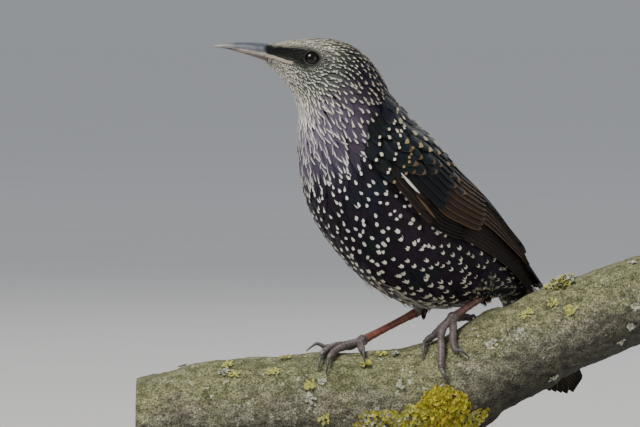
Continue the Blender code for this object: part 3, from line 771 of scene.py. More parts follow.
@dataclass(frozen=True)
class BarkFinish:
    """Bark: grey-brown with green algae on top and pale crust specks, darker in its cracks, with painted
    shade on its underside.
    """

    name: str = "bark"

    def make(self) -> Material:
        """Make the material."""
        finish = Finish(self.name, Roughness=0.88)
        graph = finish.graph
        facing = graph.add("SeparateXYZ", Vector=graph.add("NewGeometry").outputs["Normal"]).outputs[2]
        blotch = graph.ramp(graph.grain(330.0, 5.0, (0.7, 1.0, 1.0)), 0.36, 0.64)
        wood = graph.mix(blotch, (0.115, 0.105, 0.070), (0.225, 0.210, 0.150))
        algae = graph.mix(blotch, (0.118, 0.122, 0.052), (0.225, 0.225, 0.112))
        patch = graph.times(graph.grain(60.0, 3.0), 1.6)
        barked = graph.mix(graph.ramp(graph.plus(facing, patch), 0.5, 1.5), wood, algae)
        crust = graph.ramp(graph.grain(640.0, 3.0), 0.60, 0.66)
        area = graph.ramp(graph.grain(110.0, 2.0), 0.48, 0.58)
        dotted = graph.times(crust, graph.calc("MULTIPLY_ADD", area, 0.6, 0.2))
        pale = graph.mix(dotted, barked, (0.45, 0.46, 0.36))
        # Painted shade: the colour darkens where the bark faces down, standing in for the shadow under the
        # branch.
        under = graph.ramp(facing, -0.85, 0.25, 0.22, 1.0)
        cracks = graph.ramp(graph.attribute("Groove", "Fac"), 0.0, 1.0, 1.0, 0.7)
        fine = graph.ramp(graph.grain(1500.0, 5.0), 0.34, 0.66, 0.35, 1.55)
        shade = graph.times(graph.times(under, cracks), fine)
        finish.set(Base_Color=graph.shaded(pale, shade))
        coarse = graph.grain(900.0, 5.0, (0.7, 1.0, 1.0))
        finish.bump(graph.calc("MULTIPLY_ADD", graph.grain(2400.0, 3.0), 0.5, coarse), 0.7)
        return finish.material


@dataclass(frozen=True)
class SawnFinish:
    """A sawn end of the perch, with year rings round its pith."""

    name: str = "sawn_end"
    ring_width: float = 1.9

    def make(self) -> Material:
        """Make the material."""
        finish = Finish(self.name, Roughness=0.75)
        graph = finish.graph
        pith = graph.add("SeparateXYZ", Vector=graph.attribute("Dial", "Vector")).outputs
        across = graph.add("CombineXYZ", X=pith[0], Y=pith[1]).outputs[0]
        radius = graph.length(across)
        wavy = graph.plus(radius, graph.times(graph.grain(90.0), 1.4))
        ring = graph.calc("FRACT", graph.calc("DIVIDE", wavy, self.ring_width))
        late = graph.ramp(ring, 0.55, 1.0)
        wood = graph.mix(late, (0.52, 0.38, 0.22), (0.30, 0.19, 0.10))
        fibre = graph.ramp(graph.grain(4200.0, 2.0), 0.3, 0.7, 0.82, 1.1)
        finish.set(Base_Color=graph.shaded(wood, fibre))
        finish.bump(graph.grain(2600.0, 2.0), 0.12)
        return finish.material


@dataclass(frozen=True)
class LichenFinish:
    """Lichen lobes: coloured by their Base attribute, powdery at their rims."""

    name: str = "lichen"

    def make(self) -> Material:
        """Make the material."""
        finish = Finish(self.name, Roughness=0.9)
        graph = finish.graph
        grime = EFFECTS.grime.use(graph, Scale=900.0, Depth=0.45).outputs
        rim = graph.ramp(graph.attribute("Rim", "Fac"), 0.55, 1.0, 0.85, 1.35)
        finish.set(Base_Color=graph.shaded(graph.attribute("Base"), graph.times(rim, grime["Shade"])))
        finish.bump(grime["Height"], 0.25)
        return finish.material


@dataclass(frozen=True)
class LacquerFinish:
    """The base: dark stained wood under a satin lacquer, its grain along the base."""

    name: str = "stand_wood"

    def make(self) -> Material:
        """Make the material."""
        finish = Finish(self.name, Coat_Roughness=0.22, Coat_Weight=0.35)
        graph = finish.graph
        grain = graph.grain(260.0, 6.0, (0.06, 1.0, 1.0))
        wood = graph.mix(graph.ramp(grain, 0.35, 0.65), (0.030, 0.016, 0.009), (0.085, 0.045, 0.024))
        pores = graph.ramp(graph.grain(2400.0, 2.0, (0.05, 1.0, 1.0)), 0.35, 0.5, 0.6, 1.0)
        finish.set(Base_Color=graph.shaded(wood, pores))
        finish.set(Roughness=graph.ramp(grain, 0.3, 0.7, 0.32, 0.46))
        finish.bump(pores, 0.04)
        return finish.material


@dataclass(frozen=True)
class MetalFinish:
    """The rods: brushed metal with a dark patina."""

    name: str = "stand_metal"

    def make(self) -> Material:
        """Make the material."""
        finish = Finish(self.name, Metallic=1.0)
        graph = finish.graph
        brushed = graph.grain(1600.0, 3.0, (1.0, 1.0, 0.06))
        worn = graph.ramp(graph.grain(120.0), 0.35, 0.65)
        metal = graph.mix(worn, (0.16, 0.15, 0.14), (0.26, 0.25, 0.24))
        finish.set(Base_Color=graph.shaded(metal, graph.ramp(brushed, 0.3, 0.7, 0.85, 1.1)))
        finish.set(Roughness=graph.ramp(brushed, 0.3, 0.7, 0.28, 0.44))
        finish.bump(brushed, 0.02)
        return finish.material


@dataclass(frozen=True)
class PaperFinish:
    """The studio's pale floor, which turns white far away."""

    name: str = "studio_paper"

    def make(self) -> Material:
        """Make the material."""
        finish = Finish(self.name, Roughness=0.9)
        graph = finish.graph
        away = graph.length(graph.where())
        far = graph.ramp(away, 0.3, 4.5)
        shade = graph.ramp(graph.grain(8.0, 2.0), 0.3, 0.7, 0.98, 1.0)
        finish.set(Base_Color=graph.shaded(graph.mix(far, (0.70, 0.69, 0.67), (1.0, 1.0, 1.0)), shade))
        return finish.material


class Piece:
    """Turns meshes into pieces of the model."""

    @staticmethod
    def register(item: bpy.types.Object, slot: str, replaced: tuple[str, ...] = ()) -> None:
        """Hand a piece to the frame.

        Args:
            item: The piece, in place.
            slot: The material slot meant for its finish; not used.
            replaced: The CAD nodes that it stands for.
        """
        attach(item, "root")
        if replaced:
            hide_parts(*replaced)
        item.data.calc_loop_triangles()
        LOG.info("%s: %d triangles", item.name, len(item.data.loop_triangles))

    @staticmethod
    def from_bmesh(
        name: str, bm: BMesh, finishes: list[Material], crease: float = 40.0
    ) -> bpy.types.Object:
        """Turn a bmesh in millimetres into an object in metres.

        Args:
            name: The piece's name.
            bm: Its shape, which is freed.
            finishes: Its materials.
            crease: The angle past which an edge stays sharp.

        Returns:
            The object.
        """
        bmesh.ops.recalc_face_normals(bm, faces=bm.faces)
        bmesh.ops.scale(bm, vec=(MM, MM, MM), verts=bm.verts)
        mesh = bpy.data.meshes.new(name)
        bm.to_mesh(mesh)
        bm.free()
        mesh.shade_smooth()
        mesh.set_sharp_from_angle(angle=math.radians(crease))
        for finish in finishes:
            mesh.materials.append(finish)
        item = bpy.data.objects.new(name, mesh)
        bpy.context.scene.collection.objects.link(item)
        return item

    @staticmethod
    def paint(mesh: bpy.types.Mesh, name: str, kind: str, values: Array) -> None:
        """Give a mesh an attribute with a value at each point.

        Args:
            mesh: The mesh.
            name: The attribute's name.
            kind: Its type.
            values: One value, colour or vector for each point.
        """
        layer = mesh.attributes.new(name, kind, "POINT")
        key = {"FLOAT_COLOR": "color", "FLOAT_VECTOR": "vector", "FLOAT": "value"}[kind]
        layer.data.foreach_set(key, np.ascontiguousarray(values, np.float32).ravel())


def wrapped(columns: int, rows: int, place_of: Callable[[Array, Array], Array]) -> BMesh:
    """A grid laid over a shape, its meeting edges and poles merged and its open ends filled.

    Args:
        columns: Faces across.
        rows: Faces along.
        place_of: Gives the points, from arrays of 0..1 across and along.

    Returns:
        A closed bmesh, in millimetres, with a float layer along on its vertices.
    """
    bm = bmesh.new()
    bmesh.ops.create_grid(bm, x_segments=columns, y_segments=rows, size=1.0)
    layer = bm.verts.layers.float.new("along")
    flat = np.array([(vertex.co.x, vertex.co.y) for vertex in bm.verts]) / 2 + 0.5
    points = place_of(flat[:, 0], flat[:, 1])
    for vertex, along, point in zip(bm.verts, flat[:, 1], points):
        vertex.co = point
        vertex[layer] = along
    bmesh.ops.remove_doubles(bm, verts=bm.verts, dist=1e-3)
    rim = [edge for edge in bm.edges if edge.is_boundary]
    if rim:
        bmesh.ops.holes_fill(bm, edges=rim, sides=0)
    return bm


def domed(along: Array, length: float) -> Array:
    """A factor along a closed shape that rounds both of its ends.

    Args:
        along: Shares of the length, from 0 to 1.
        length: The share of the length that each end takes.

    Returns:
        A factor for each share.
    """
    near = np.clip(1 - along / length, 0, 1)
    far = np.clip(1 - (1 - along) / length, 0, 1)
    return np.sqrt(np.clip(1 - np.maximum(near, far) ** 2, 0, 1))


def joined(target: BMesh, other: BMesh) -> None:
    """Add a bmesh to another one and free it.

    Args:
        target: The bmesh that grows.
        other: The one that is added.
    """
    mesh = bpy.data.meshes.new("joined")
    other.to_mesh(mesh)
    other.free()
    target.from_mesh(mesh)
    bpy.data.meshes.remove(mesh)


@dataclass(frozen=True)
class Vane:
    """The shape of one kind of feather: a thin closed lens, made once and laid many times."""

    columns: int
    rows: int
    full: float = 0.35
    taper: float = 0.55
    roundness: float = 2.0
    narrow: float = 0.35
    thickness: float = 0.16
    shaft: float = 0.0
    crowd: float = 1.5

    @cached_property
    def template(self) -> tuple[Array, Array]:
        """The points as across, along and side (1 upper, -1 lower, 0 rim), and the quads."""
        bm = bmesh.new()
        bmesh.ops.create_grid(bm, x_segments=self.columns, y_segments=self.rows, size=1.0)
        for vertex in bm.verts:
            vertex.co.z = 0.0 if max(abs(vertex.co.x), abs(vertex.co.y)) > 0.999 else 1.0
        lower = bmesh.ops.duplicate(bm, geom=bm.faces)["geom"]
        flipped = [item for item in lower if isinstance(item, bmesh.types.BMFace)]
        bmesh.ops.reverse_faces(bm, faces=flipped)
        for item in lower:
            if isinstance(item, bmesh.types.BMVert):
                item.co.z = -item.co.z
        bmesh.ops.remove_doubles(bm, verts=bm.verts, dist=1e-4)
        bm.verts.index_update()
        points = np.array([vertex.co[:] for vertex in bm.verts])
        points[:, 1] = 1 - (1 - (points[:, 1] + 1) / 2) ** self.crowd
        quads = np.array([[vertex.index for vertex in face.verts] for face in bm.faces])
        bm.free()
        return points, quads

    def width(self, along: Array) -> Array:
        """The half width along the feather, as a share of its widest.

        Args:
            along: Shares of the length, from 0 to 1.

        Returns:
            A half width for each share.
        """
        opening = blend(self.narrow, 1.0, smoothstep(0.0, self.full, along))
        past = np.clip((along - self.taper) / (1 - self.taper), 0, 1)
        closing = np.clip(1 - past**self.roundness, 0, 1) ** (1 / self.roundness)
        return opening * np.maximum(closing, 0.06)


STIFF_VANE = Vane(8, 14, full=0.3, thickness=0.3, shaft=0.25, crowd=1.2)
COVERT_VANE = Vane(4, 8, taper=0.5, roundness=1.7, thickness=0.14)


@dataclass
class Flock:
    """Many feathers of one shape; a single value given for a field holds for all of them."""

    place: Array
    angle: Array
    length: Array
    half_width: Array
    heading: Array
    root_height: Array
    tip_height: Array
    base: Array
    tip: Array
    edge: Array
    mark: Array
    fringe: Array
    curl: Array = 0.0

    def __post_init__(self) -> None:
        """Give each feather its own value of every field."""
        for key, value in list(vars(self).items()):
            parts = (3,) if key in ("base", "tip", "edge", "mark") else ()
            wanted = (len(self.place), *parts)
            setattr(self, key, np.broadcast_to(np.asarray(value, float), wanted))

    @staticmethod
    def of_looks(base: Array, tip: Array, edge: Array, mark: tuple, fringe: float) -> "Flock":
        """One feather's looks, for points that are worked out elsewhere."""
        return Flock(np.zeros(1), 0, 0, 0, 0, 0, 0, base, tip, edge, mark, fringe)

    def chosen(self, kept: Array) -> "Flock":
        """The feathers that a mask keeps."""
        return Flock(**{key: value[kept] for key, value in vars(self).items()})

    def __len__(self) -> int:
        """How many feathers there are."""
        return len(self.place)


@dataclass
class FeatherMesh:
    """Feathers laid on their grounds and joined into one mesh."""

    name: str
    vane: Vane
    points: list[Array] = field(default_factory=list)
    marks: list[dict[str, Array]] = field(default_factory=list)

    def lay(self, ground: Loft, flock: Flock, cup: float = 0.12) -> None:
        """Lay a flock on a ground.

        Args:
            ground: The surface that the feathers lie on.
            flock: The feathers.
            cup: How far the edges bend down, as a share of the half width.
        """
        template, _ = self.vane.template
        across, along, side = (template[:, i][None, :] for i in range(3))
        place, angle = flock.place[:, None], flock.angle[:, None]
        step, _ = ground.metric(flock.place, flock.angle)
        middle = flock.place + 0.5 * flock.length / step
        step, turn = ground.metric(middle, flock.angle)
        lie = np.radians(flock.heading[:, None] + flock.curl[:, None] * along)
        reach = flock.length[:, None] * along
        aside = flock.half_width[:, None] * self.vane.width(along) * across
        tailward = (reach * np.cos(lie) - aside * np.sin(lie)) / step[:, None]
        sideward = (reach * np.sin(lie) + aside * np.cos(lie)) / turn[:, None]
        rise = blend(flock.root_height[:, None], flock.tip_height[:, None], along)
        bend = -cup * flock.half_width[:, None] * across**2 * self.vane.width(along)
        body = self.vane.thickness * side / 2 * (1 - 0.6 * along)
        points = ground.point(place + tailward, angle + sideward, rise + bend + body)
        seat = np.stack([(flock.angle / 360) % 1, flock.place / ground.last * 0.98], -1)
        self.store(points, flock, seat)

    def store(self, points: Array, flock: Flock, seat: Array, patch: float = 0.003) -> None:
        """Keep feathers whose points are worked out.

        Args:
            points: One row of points for each feather.
            flock: Their colours and marks.
            seat: Each root's place on the unwrap of the skin.
            patch: The size of a feather on that unwrap.
        """
        template, _ = self.vane.template
        across, along = template[:, 0][None, :], template[:, 1][None, :]
        count, corners = points.shape[:2]
        each = np.ones((count, corners))
        real = across * self.vane.width(along) * each
        local = np.stack([across * each, (2 * along - 1) * each], -1) * patch / 2
        self.points.append(points)
        looks = ("base", "tip", "edge", "mark")
        self.marks.append(
            {key: np.repeat(getattr(flock, key), corners, 0) for key in looks}
            | {
                "fringe": np.repeat(flock.fringe, corners)[:, None],
                "rim": (np.abs(across) * each).ravel(),
                "vane": np.stack([real, along * each], -1).reshape(-1, 2),
                "bake": (seat[:, None, :] * 0.98 + 0.01 + local).reshape(-1, 2),
            }
        )

    def build(self, material: Material, slot: str, replaced: tuple[str, ...] = ()) -> None:
        """Join what was laid into a piece of the model.

        Args:
            material: Its finish.
            slot: Its material slot.
            replaced: The CAD nodes that it stands for.
        """
        _, quads = self.vane.template
        points = np.concatenate([rows.reshape(-1, 3) for rows in self.points])
        corners = len(self.vane.template[0])
        count = len(points) // corners
        faces = []
        start = 0
        for rows in self.points:
            turned = quads[:, ::-1] if self.inside_out(rows, quads) else quads
            offsets = (start + np.arange(len(rows))) * corners
            faces.append((turned[None] + offsets[:, None, None]).reshape(-1, 4))
            start += len(rows)
        loops = np.concatenate(faces).ravel()
        mesh = bpy.data.meshes.new(self.name)
        mesh.vertices.add(len(points))
        mesh.vertices.foreach_set("co", (points * MM).astype(np.float32).ravel())
        mesh.loops.add(len(loops))
        mesh.loops.foreach_set("vertex_index", loops.astype(np.int32))
        mesh.polygons.add(count * len(quads))
        mesh.polygons.foreach_set("loop_start", np.arange(count * len(quads), dtype=np.int32) * 4)
        mesh.update(calc_edges=True)
        mesh.validate()
        kept = {key: np.concatenate([part[key] for part in self.marks]) for key in self.marks[0]}
        for name, key in (("Base", "base"), ("Tip", "tip"), ("Edge", "edge")):
            opaque = kept["fringe"] if key == "edge" else np.ones((len(points), 1))
            Piece.paint(mesh, name, "FLOAT_COLOR", np.concatenate([kept[key], opaque], 1))
        Piece.paint(mesh, "Mark", "FLOAT_VECTOR", kept["mark"])
        Piece.paint(mesh, "Rim", "FLOAT", kept["rim"])
        corner = np.zeros(len(mesh.loops), np.int32)
        mesh.loops.foreach_get("vertex_index", corner)
        for name, key in (("OFBake", "bake"), ("Vane", "vane")):
            layer = mesh.uv_layers.new(name=name)
            layer.uv.foreach_set("vector", kept[key][corner].astype(np.float32).ravel())
        mesh.shade_smooth()
        mesh.set_sharp_from_angle(angle=math.radians(50))
        mesh.materials.append(material)
        item = bpy.data.objects.new(self.name, mesh)
        bpy.context.scene.collection.objects.link(item)
        Piece.register(item, slot, replaced)

    @staticmethod
    def inside_out(rows: Array, quads: Array) -> bool:
        """Whether the first of some feathers has its faces turned inwards.

        Args:
            rows: One row of points for each feather.
            quads: The faces of one.

        Returns:
            True if its faces point inwards.
        """
        corner = rows[len(rows) // 2][quads]
        middle = corner.mean(axis=(0, 1))
        normal = np.cross(corner[:, 2] - corner[:, 0], corner[:, 3] - corner[:, 1])
        return float((normal * (corner.mean(1) - middle)).sum()) < 0


@dataclass(frozen=True)
class Zone:
    """The look of the feathers about a place of the body.

    start is where the pale mark begins along the shaft, notch its shape (over 0 a V with its point
    at the tip, under 0 a drop with its point at the root), width its share of the feather's width
    and fringe the width of the pale rim.
    """

    place: float
    angle: float
    base: Tone
    tip: Tone
    start: float
    notch: float
    width: float
    fringe: float = 0.0
    strength: float = 1.0


ZONES = (
    Zone(0.2, 8.0, Tone.BROW, Tone.CREAM, 0.20, -0.3, 0.90, 0.0, 2.0),
    Zone(1.0, 32.0, Tone.BROW, Tone.CREAM, 0.30, -0.4, 0.50, 0.0, 6.0),
    Zone(1.6, 10.0, Tone.CROWN, Tone.CROWN_TIP, 0.52, -0.7, 0.45, 0.05),
    Zone(3.2, 12.0, Tone.CROWN, Tone.CROWN_TIP, 0.62, -0.7, 0.38, 0.05),
    Zone(4.6, 14.0, Tone.NAPE, Tone.CROWN_TIP, 0.74, -0.7, 0.32),
    Zone(2.1, 42.0, Tone.BROW, Tone.SPECK, 0.36, -0.5, 0.42, 0.0, 7.0),
    Zone(2.9, 40.0, Tone.BROW, Tone.SPECK, 0.50, -0.5, 0.45),
    Zone(3.8, 45.0, Tone.EAR, Tone.SPECK, 0.66, -0.7, 0.32),
    Zone(0.0, 58.0, Tone.LORE, Tone.LORE, 1.5, 0.0, 0.5, 0.0, 4.0),
    Zone(0.8, 68.0, Tone.LORE, Tone.LORE, 1.5, 0.0, 0.5, 0.0, 4.0),
    Zone(1.6, 70.0, Tone.LORE, Tone.LORE, 1.5, 0.0, 0.5, 0.0, 9.0),
    Zone(2.2, 70.0, Tone.LORE, Tone.LORE, 1.5, 0.0, 0.5, 0.0, 3.0),
    Zone(2.3, 98.0, Tone.CHEEK, Tone.SPECK, 0.46, -0.7, 0.36, 0.0, 8.0),
    Zone(1.5, 106.0, Tone.CHIN, Tone.WHITE, 0.30, -0.6, 0.45, 0.0, 4.0),
    Zone(3.5, 76.0, Tone.CHEEK, Tone.SPECK, 0.54, -0.7, 0.32),
    Zone(3.1, 100.0, Tone.CHEEK, Tone.SPECK, 0.50, -0.7, 0.34),
    Zone(4.6, 80.0, Tone.EAR, Tone.SPECK, 0.68, -0.7, 0.32),
    Zone(5.3, 42.0, Tone.NAPE, Tone.SPECK, 0.76, -0.7, 0.30),
    Zone(0.8, 114.0, Tone.THROAT, Tone.CREAM, 0.50, -0.6, 0.40),
    Zone(1.2, 165.0, Tone.CHIN, Tone.WHITE, 0.30, -0.5, 0.60),
    Zone(2.6, 128.0, Tone.THROAT, Tone.CREAM, 0.35, -0.5, 0.50),
    Zone(3.2, 165.0, Tone.CHIN, Tone.WHITE, 0.25, -0.5, 0.60),
    Zone(4.2, 142.0, Tone.CHIN, Tone.WHITE, 0.30, -0.5, 0.50),
    Zone(4.8, 110.0, Tone.CHEEK, Tone.CREAM, 0.52, -0.6, 0.42),
    # The neck's hackles: their lilac and mauve colour is painted sheen over blackish-purple feathers, with
    # white streaks.
    Zone(5.4, 168.0, Tone.LILAC, Tone.WHITE, 0.38, -0.6, 0.30),
    Zone(5.5, 138.0, Tone.LILAC, Tone.WHITE, 0.42, -0.6, 0.29),
    Zone(6.0, 98.0, Tone.MAUVE, Tone.CREAM, 0.62, -0.6, 0.29),
    Zone(6.4, 60.0, Tone.PURPLE_BLACK, Tone.BUFF, 0.74, -0.6, 0.26),
    Zone(6.2, 18.0, Tone.NAPE, Tone.BUFF, 0.78, -0.5, 0.36),
    Zone(5.9, 155.0, Tone.LILAC, Tone.WHITE, 0.48, -0.7, 0.26),
    Zone(6.05, 116.0, Tone.LILAC, Tone.WHITE, 0.60, -0.6, 0.26),
    Zone(7.2, 84.0, Tone.PURPLE_BLACK, Tone.CREAM, 0.78, -0.6, 0.23),
    Zone(8.2, 25.0, Tone.NAPE, Tone.BUFF, 0.80, -0.5, 0.42),
    Zone(7.2, 152.0, Tone.PURPLE_BLACK, Tone.WHITE, 0.76, -0.7, 0.24, 0.0, 2.0),
    Zone(7.7, 108.0, Tone.SOOT, Tone.WHITE, 0.82, -0.5, 0.30, 0.0, 2.0),
    Zone(8.4, 152.0, Tone.BLACK, Tone.WHITE, 0.79, -0.7, 0.28),
    Zone(9.4, 152.0, Tone.BLACK, Tone.WHITE, 0.80, -0.6, 0.28),
    Zone(9.6, 110.0, Tone.BLACK, Tone.WHITE, 0.83, -0.4, 0.32),
    Zone(10.6, 88.0, Tone.BROWN_GREY, Tone.CREAM, 0.86, -0.4, 0.36),
    Zone(11.2, 150.0, Tone.BLACK, Tone.WHITE, 0.82, -0.2, 0.33),
    Zone(11.4, 112.0, Tone.BLACK, Tone.WHITE, 0.84, 0.3, 0.34),
    Zone(12.6, 148.0, Tone.BLACK, Tone.CREAM, 0.80, 0.70, 0.38),
    Zone(12.9, 112.0, Tone.BLACK, Tone.CREAM, 0.81, 0.80, 0.38),
    Zone(14.1, 152.0, Tone.BLACK, Tone.OLIVE_CREAM, 0.74, 0.40, 0.50),
    Zone(14.3, 106.0, Tone.BLACK, Tone.CREAM, 0.82, 0.80, 0.36),
    Zone(15.3, 122.0, Tone.BLACK, Tone.OLIVE_CREAM, 0.79, 0.70, 0.38),
    Zone(15.7, 165.0, Tone.SOOT, Tone.OLIVE_CREAM, 0.68, 0.30, 0.52),
    Zone(16.7, 150.0, Tone.VENT, Tone.OLIVE_CREAM, 0.62, 0.30, 0.52),
    Zone(11.5, 20.0, Tone.BLUE_BLACK, Tone.OLIVE_CREAM, 0.80, -0.4, 0.40),
    Zone(15.5, 20.0, Tone.SOOT, Tone.BUFF, 0.82, -0.3, 0.45, 0.10),
)


@dataclass(frozen=True)
class Socket:
    """A round place on the head that the feathers part round."""

    place: float
    angle: float
    radius: float

    def offset(self, ground: Loft, place: Array, angle: Array) -> tuple[Array, Array]:
        """Millimetres towards the tail and round the body from the middle of the socket.

        Args:
            ground: The body's surface.
            place: Places along the body.
            angle: Degrees from the back.

        Returns:
            Both distances, for each place.
        """
        step, turn = ground.metric(np.array([self.place]), np.array([self.angle]))
        away = (angle - self.angle + 180) % 360 - 180
        return (place - self.place) * step[0], away * turn[0]


@dataclass(frozen=True)
class EyePair:
    """Where the eyes sit in the head."""

    radius: float = 3.1
    bulge: float = 2.5
    x: float = -36.9
    z: float = 190.6
    inset: float = 8.2
    tilt: float = 11.0
    station: float = 3.0

    def matrix(self, side: int) -> Matrix:
        """The placing of an eye: its own Z points out of the head and a little up.

        Args:
            side: 1 for the bird's left and -1 for its right.

        Returns:
            The matrix, in millimetres.
        """
        section, tilt = BODY.section(self.station), math.radians(self.tilt)
        leftward = Vector(section.axes[2])
        outward = leftward * (side * math.cos(tilt)) + Vector((0.0, 0.0, math.sin(tilt)))
        place = Vector((self.x, section.y, self.z)) + leftward * (side * self.inset)
        along = Vector((0.0, 0.0, 1.0)).cross(outward).normalized()
        turned = Matrix((along, outward.cross(along), outward)).transposed().to_4x4()
        return Matrix.Translation(place) @ turned

    def socket(self, side: int) -> Socket:
        """The round place that an eye takes on the head.

        Args:
            side: 1 for the bird's left and -1 for its right.

        Returns:
            The socket.
        """
        out = self.matrix(side) @ Vector((0.0, 0.0, self.bulge))
        place, angle = BODY.nearest(out, 2.0, 4.0)
        return Socket(place, angle, self.radius * 0.98)


EYES = EyePair()


@dataclass(frozen=True)
class Coat:
    """The small feathers of head and body, in staggered rows from bill to tail."""

    seed: int = 7
    first: float = 0.12
    last: float = 16.6
    stations: tuple = (0.0, 1.5, 3.0, 4.5, 6.0, 8.0, 12.0, 17.0)
    lengths: tuple = (1.5, 2.2, 3.6, 5.0, 8.0, 10.5, 12.0, 12.5)
    exposures: tuple = (0.65, 0.85, 1.1, 1.5, 2.4, 3.6, 4.4, 4.2)
    spacings: tuple = (0.7, 0.9, 1.2, 1.6, 2.4, 3.5, 4.1, 3.9)
    under_wing: tuple = (9.8, 14.3, 26.0, 74.0)

    def table(self, values: tuple, place: Array) -> Array:
        """A value along the body, from its values at the stations."""
        return np.interp(place, self.stations, values)

    def roots(self, rng: np.random.Generator) -> tuple[Array, Array]:
        """The places and angles of the feathers' roots.

        Args:
            rng: The source of the random draws.

        Returns:
            The places and the angles.
        """
        places, angles = [], []
        place, row = self.first, 0
        while place < self.last:
            step = BODY.metric(np.array([place]), np.array([90.0]))[0][0]
            count = max(12, round(BODY.girth(place) / self.table(self.spacings, place)))
            angles.append(staggered(count, row) - 180 + rng.normal(0, 0.10 * 360 / count, count))
            advance = self.table(self.exposures, place) / step
            places.append(place + rng.normal(0, 0.10, count) * advance)
            place += advance
            row += 1
        return np.concatenate(places), np.concatenate(angles)

    @staticmethod
    def zoned(place: Array, angle: Array, rng: np.random.Generator) -> dict[str, Array]:
        """The looks of feathers at places, blended from the zones about them.

        Args:
            place: Places along the body.
            angle: Degrees from the back.
            rng: The source of the random draws.

        Returns:
            The colours, marks and fringes, by the names of Flock's fields.
        """
        side = from_back(angle)
        weights = []
        for zone in ZONES:
            reach = 0.55 + 0.12 * zone.place
            turned = (side - zone.angle) / (17 + zone.place)
            far = ((place - zone.place) / reach) ** 2 + turned**2
            weights.append(zone.strength * np.exp(-0.5 * far) + 1e-12)
        weights = np.array(weights) ** 1.6
        weights /= weights.sum(0)
        uneven = rng.uniform(0.8, 1.2, (len(place), 1))
        base = np.einsum("zn,zc->nc", weights, np.array([zone.base.linear for zone in ZONES]))
        tip = np.einsum("zn,zc->nc", weights, np.array([zone.tip.linear for zone in ZONES]))
        marks = np.array([(zone.start, zone.notch, zone.width) for zone in ZONES])
        mark = np.einsum("zn,zc->nc", weights, marks)
        mark[:, 0] += rng.normal(0, 0.025, len(place))
        line = np.interp(place, (0.0, 2.2), (60.0, 70.0))
        wedge = (smoothstep(19, 12, np.abs(side - line)) * smoothstep(2.8, 2.2, place))[:, None]
        base += (Tone.LORE.linear - base) * wedge
        tip += (Tone.LORE.linear - tip) * wedge
        mark[:, 0] += 1.5 * wedge[:, 0]
        small = smoothstep(6.6, 8.4, place)
        mark[:, 0] += 0.16 * (1 - mark[:, 0]) * small
        mark[:, 2] *= rng.uniform(0.85, 1.15, len(place)) * (1 - 0.14 * small)
        fringe = np.einsum("zn,z->n", weights, np.array([zone.fringe for zone in ZONES]))
        dim = np.interp(place, (3, 7), (0.5, 0.8))[:, None]
        tip *= rng.uniform(dim, 1.12, (len(place), 1))
        return {"base": base * uneven, "tip": tip, "edge": tip, "mark": mark, "fringe": fringe}

    def flock(self) -> Flock:
        """Every small feather of the head and body."""
        rng = np.random.default_rng(self.seed)
        place, angle = self.roots(rng)
        count = len(place)
        length = self.table(self.lengths, place) * rng.uniform(0.9, 1.1, count)
        half = self.table(self.spacings, place) * 0.62 * rng.uniform(0.92, 1.08, count)
        side = from_back(angle)
        throat = smoothstep(3.8, 5.0, place) * (1 - smoothstep(6.4, 7.6, place))
        hackle = smoothstep(85, 120, side) * throat
        half *= 1 - 0.42 * hackle
        length *= 1 + 0.35 * hackle
        look = self.zoned(place, angle, rng)
        loose = smoothstep(10, 14, place) * smoothstep(90, 130, side)
        lift = 0.15 + 0.25 * smoothstep(1, 8, place) + 0.5 * loose
        heading = rng.normal(0, 5.0, count) + rng.normal(0, 6.0, count) * loose
        flock = Flock(
            place=place,
            angle=angle,
            length=length,
            half_width=half,
            heading=heading,
            root_height=-0.35 - 0.45 * smoothstep(1, 8, place) + rng.normal(0, 0.03, count),
            tip_height=lift + rng.normal(0, 0.08, count) * (0.3 + smoothstep(2, 8, place)),
            **look,
            curl=rng.normal(0, 8.0, count),
        )
        for side in (1, -1):
            flock = self.parted(flock, EYES.socket(side))
        first, last, top, low = self.under_wing
        turned = from_back(flock.angle)
        covered = (flock.place > first) & (flock.place < last) & (turned > top) & (turned < low)
        return flock.chosen(~covered)

    def bristles(self) -> Flock:
        """The short feathers that point forward over the bill's base, dark beside the nostrils."""
        rng = np.random.default_rng(self.seed + 1)
        angle = np.concatenate([np.arange(-180.0, 180.0, 6.0) + 3.0 * row for row in range(4)])
        count = len(angle)
        place = np.repeat((-0.12, 0.02, 0.16, 0.3), count // 4)
        side = from_back(angle)
        lore = np.exp(-(((side - 56) / 24) ** 2))
        look = self.zoned(place, angle, rng)
        look["base"] *= (1 - 0.9 * lore)[:, None]
        look["tip"] = look["edge"] = look["tip"] * (1 - 0.97 * lore)[:, None]
        return Flock(
            place=place,
            angle=angle + rng.normal(0, 1.0, count),
            length=(0.9 + 1.6 * lore + 0.5 * smoothstep(120, 170, side)) * rng.uniform(0.8, 1.2, count),
            half_width=0.38,
            heading=180 + rng.normal(0, 8, count),
            root_height=-0.2,
            tip_height=0.05 - 0.25 * lore,
            **look,
        )

    def wisps(self) -> Flock:
        """A few loose pale feathers that hang from the belly before the legs."""
        rng = np.random.default_rng(self.seed + 3)
        count = 22
        place, angle = rng.uniform(12.0, 14.4, count), rng.uniform(158.0, 200.0, count)
        tone = Tone.DOWN.linear * rng.uniform(0.5, 1.1, (count, 1))
        return Flock(
            place=place,
            angle=angle,
            length=rng.uniform(8.0, 13.0, count),
            half_width=rng.uniform(0.35, 0.7, count),
            heading=rng.normal(0, 14, count),
            root_height=-0.3,
            tip_height=rng.uniform(1.0, 3.2, count),
            base=tone,
            tip=tone,
            edge=tone,
            mark=WHOLE_MARK,
            fringe=0.0,
            curl=rng.normal(0, 14, count),
        )

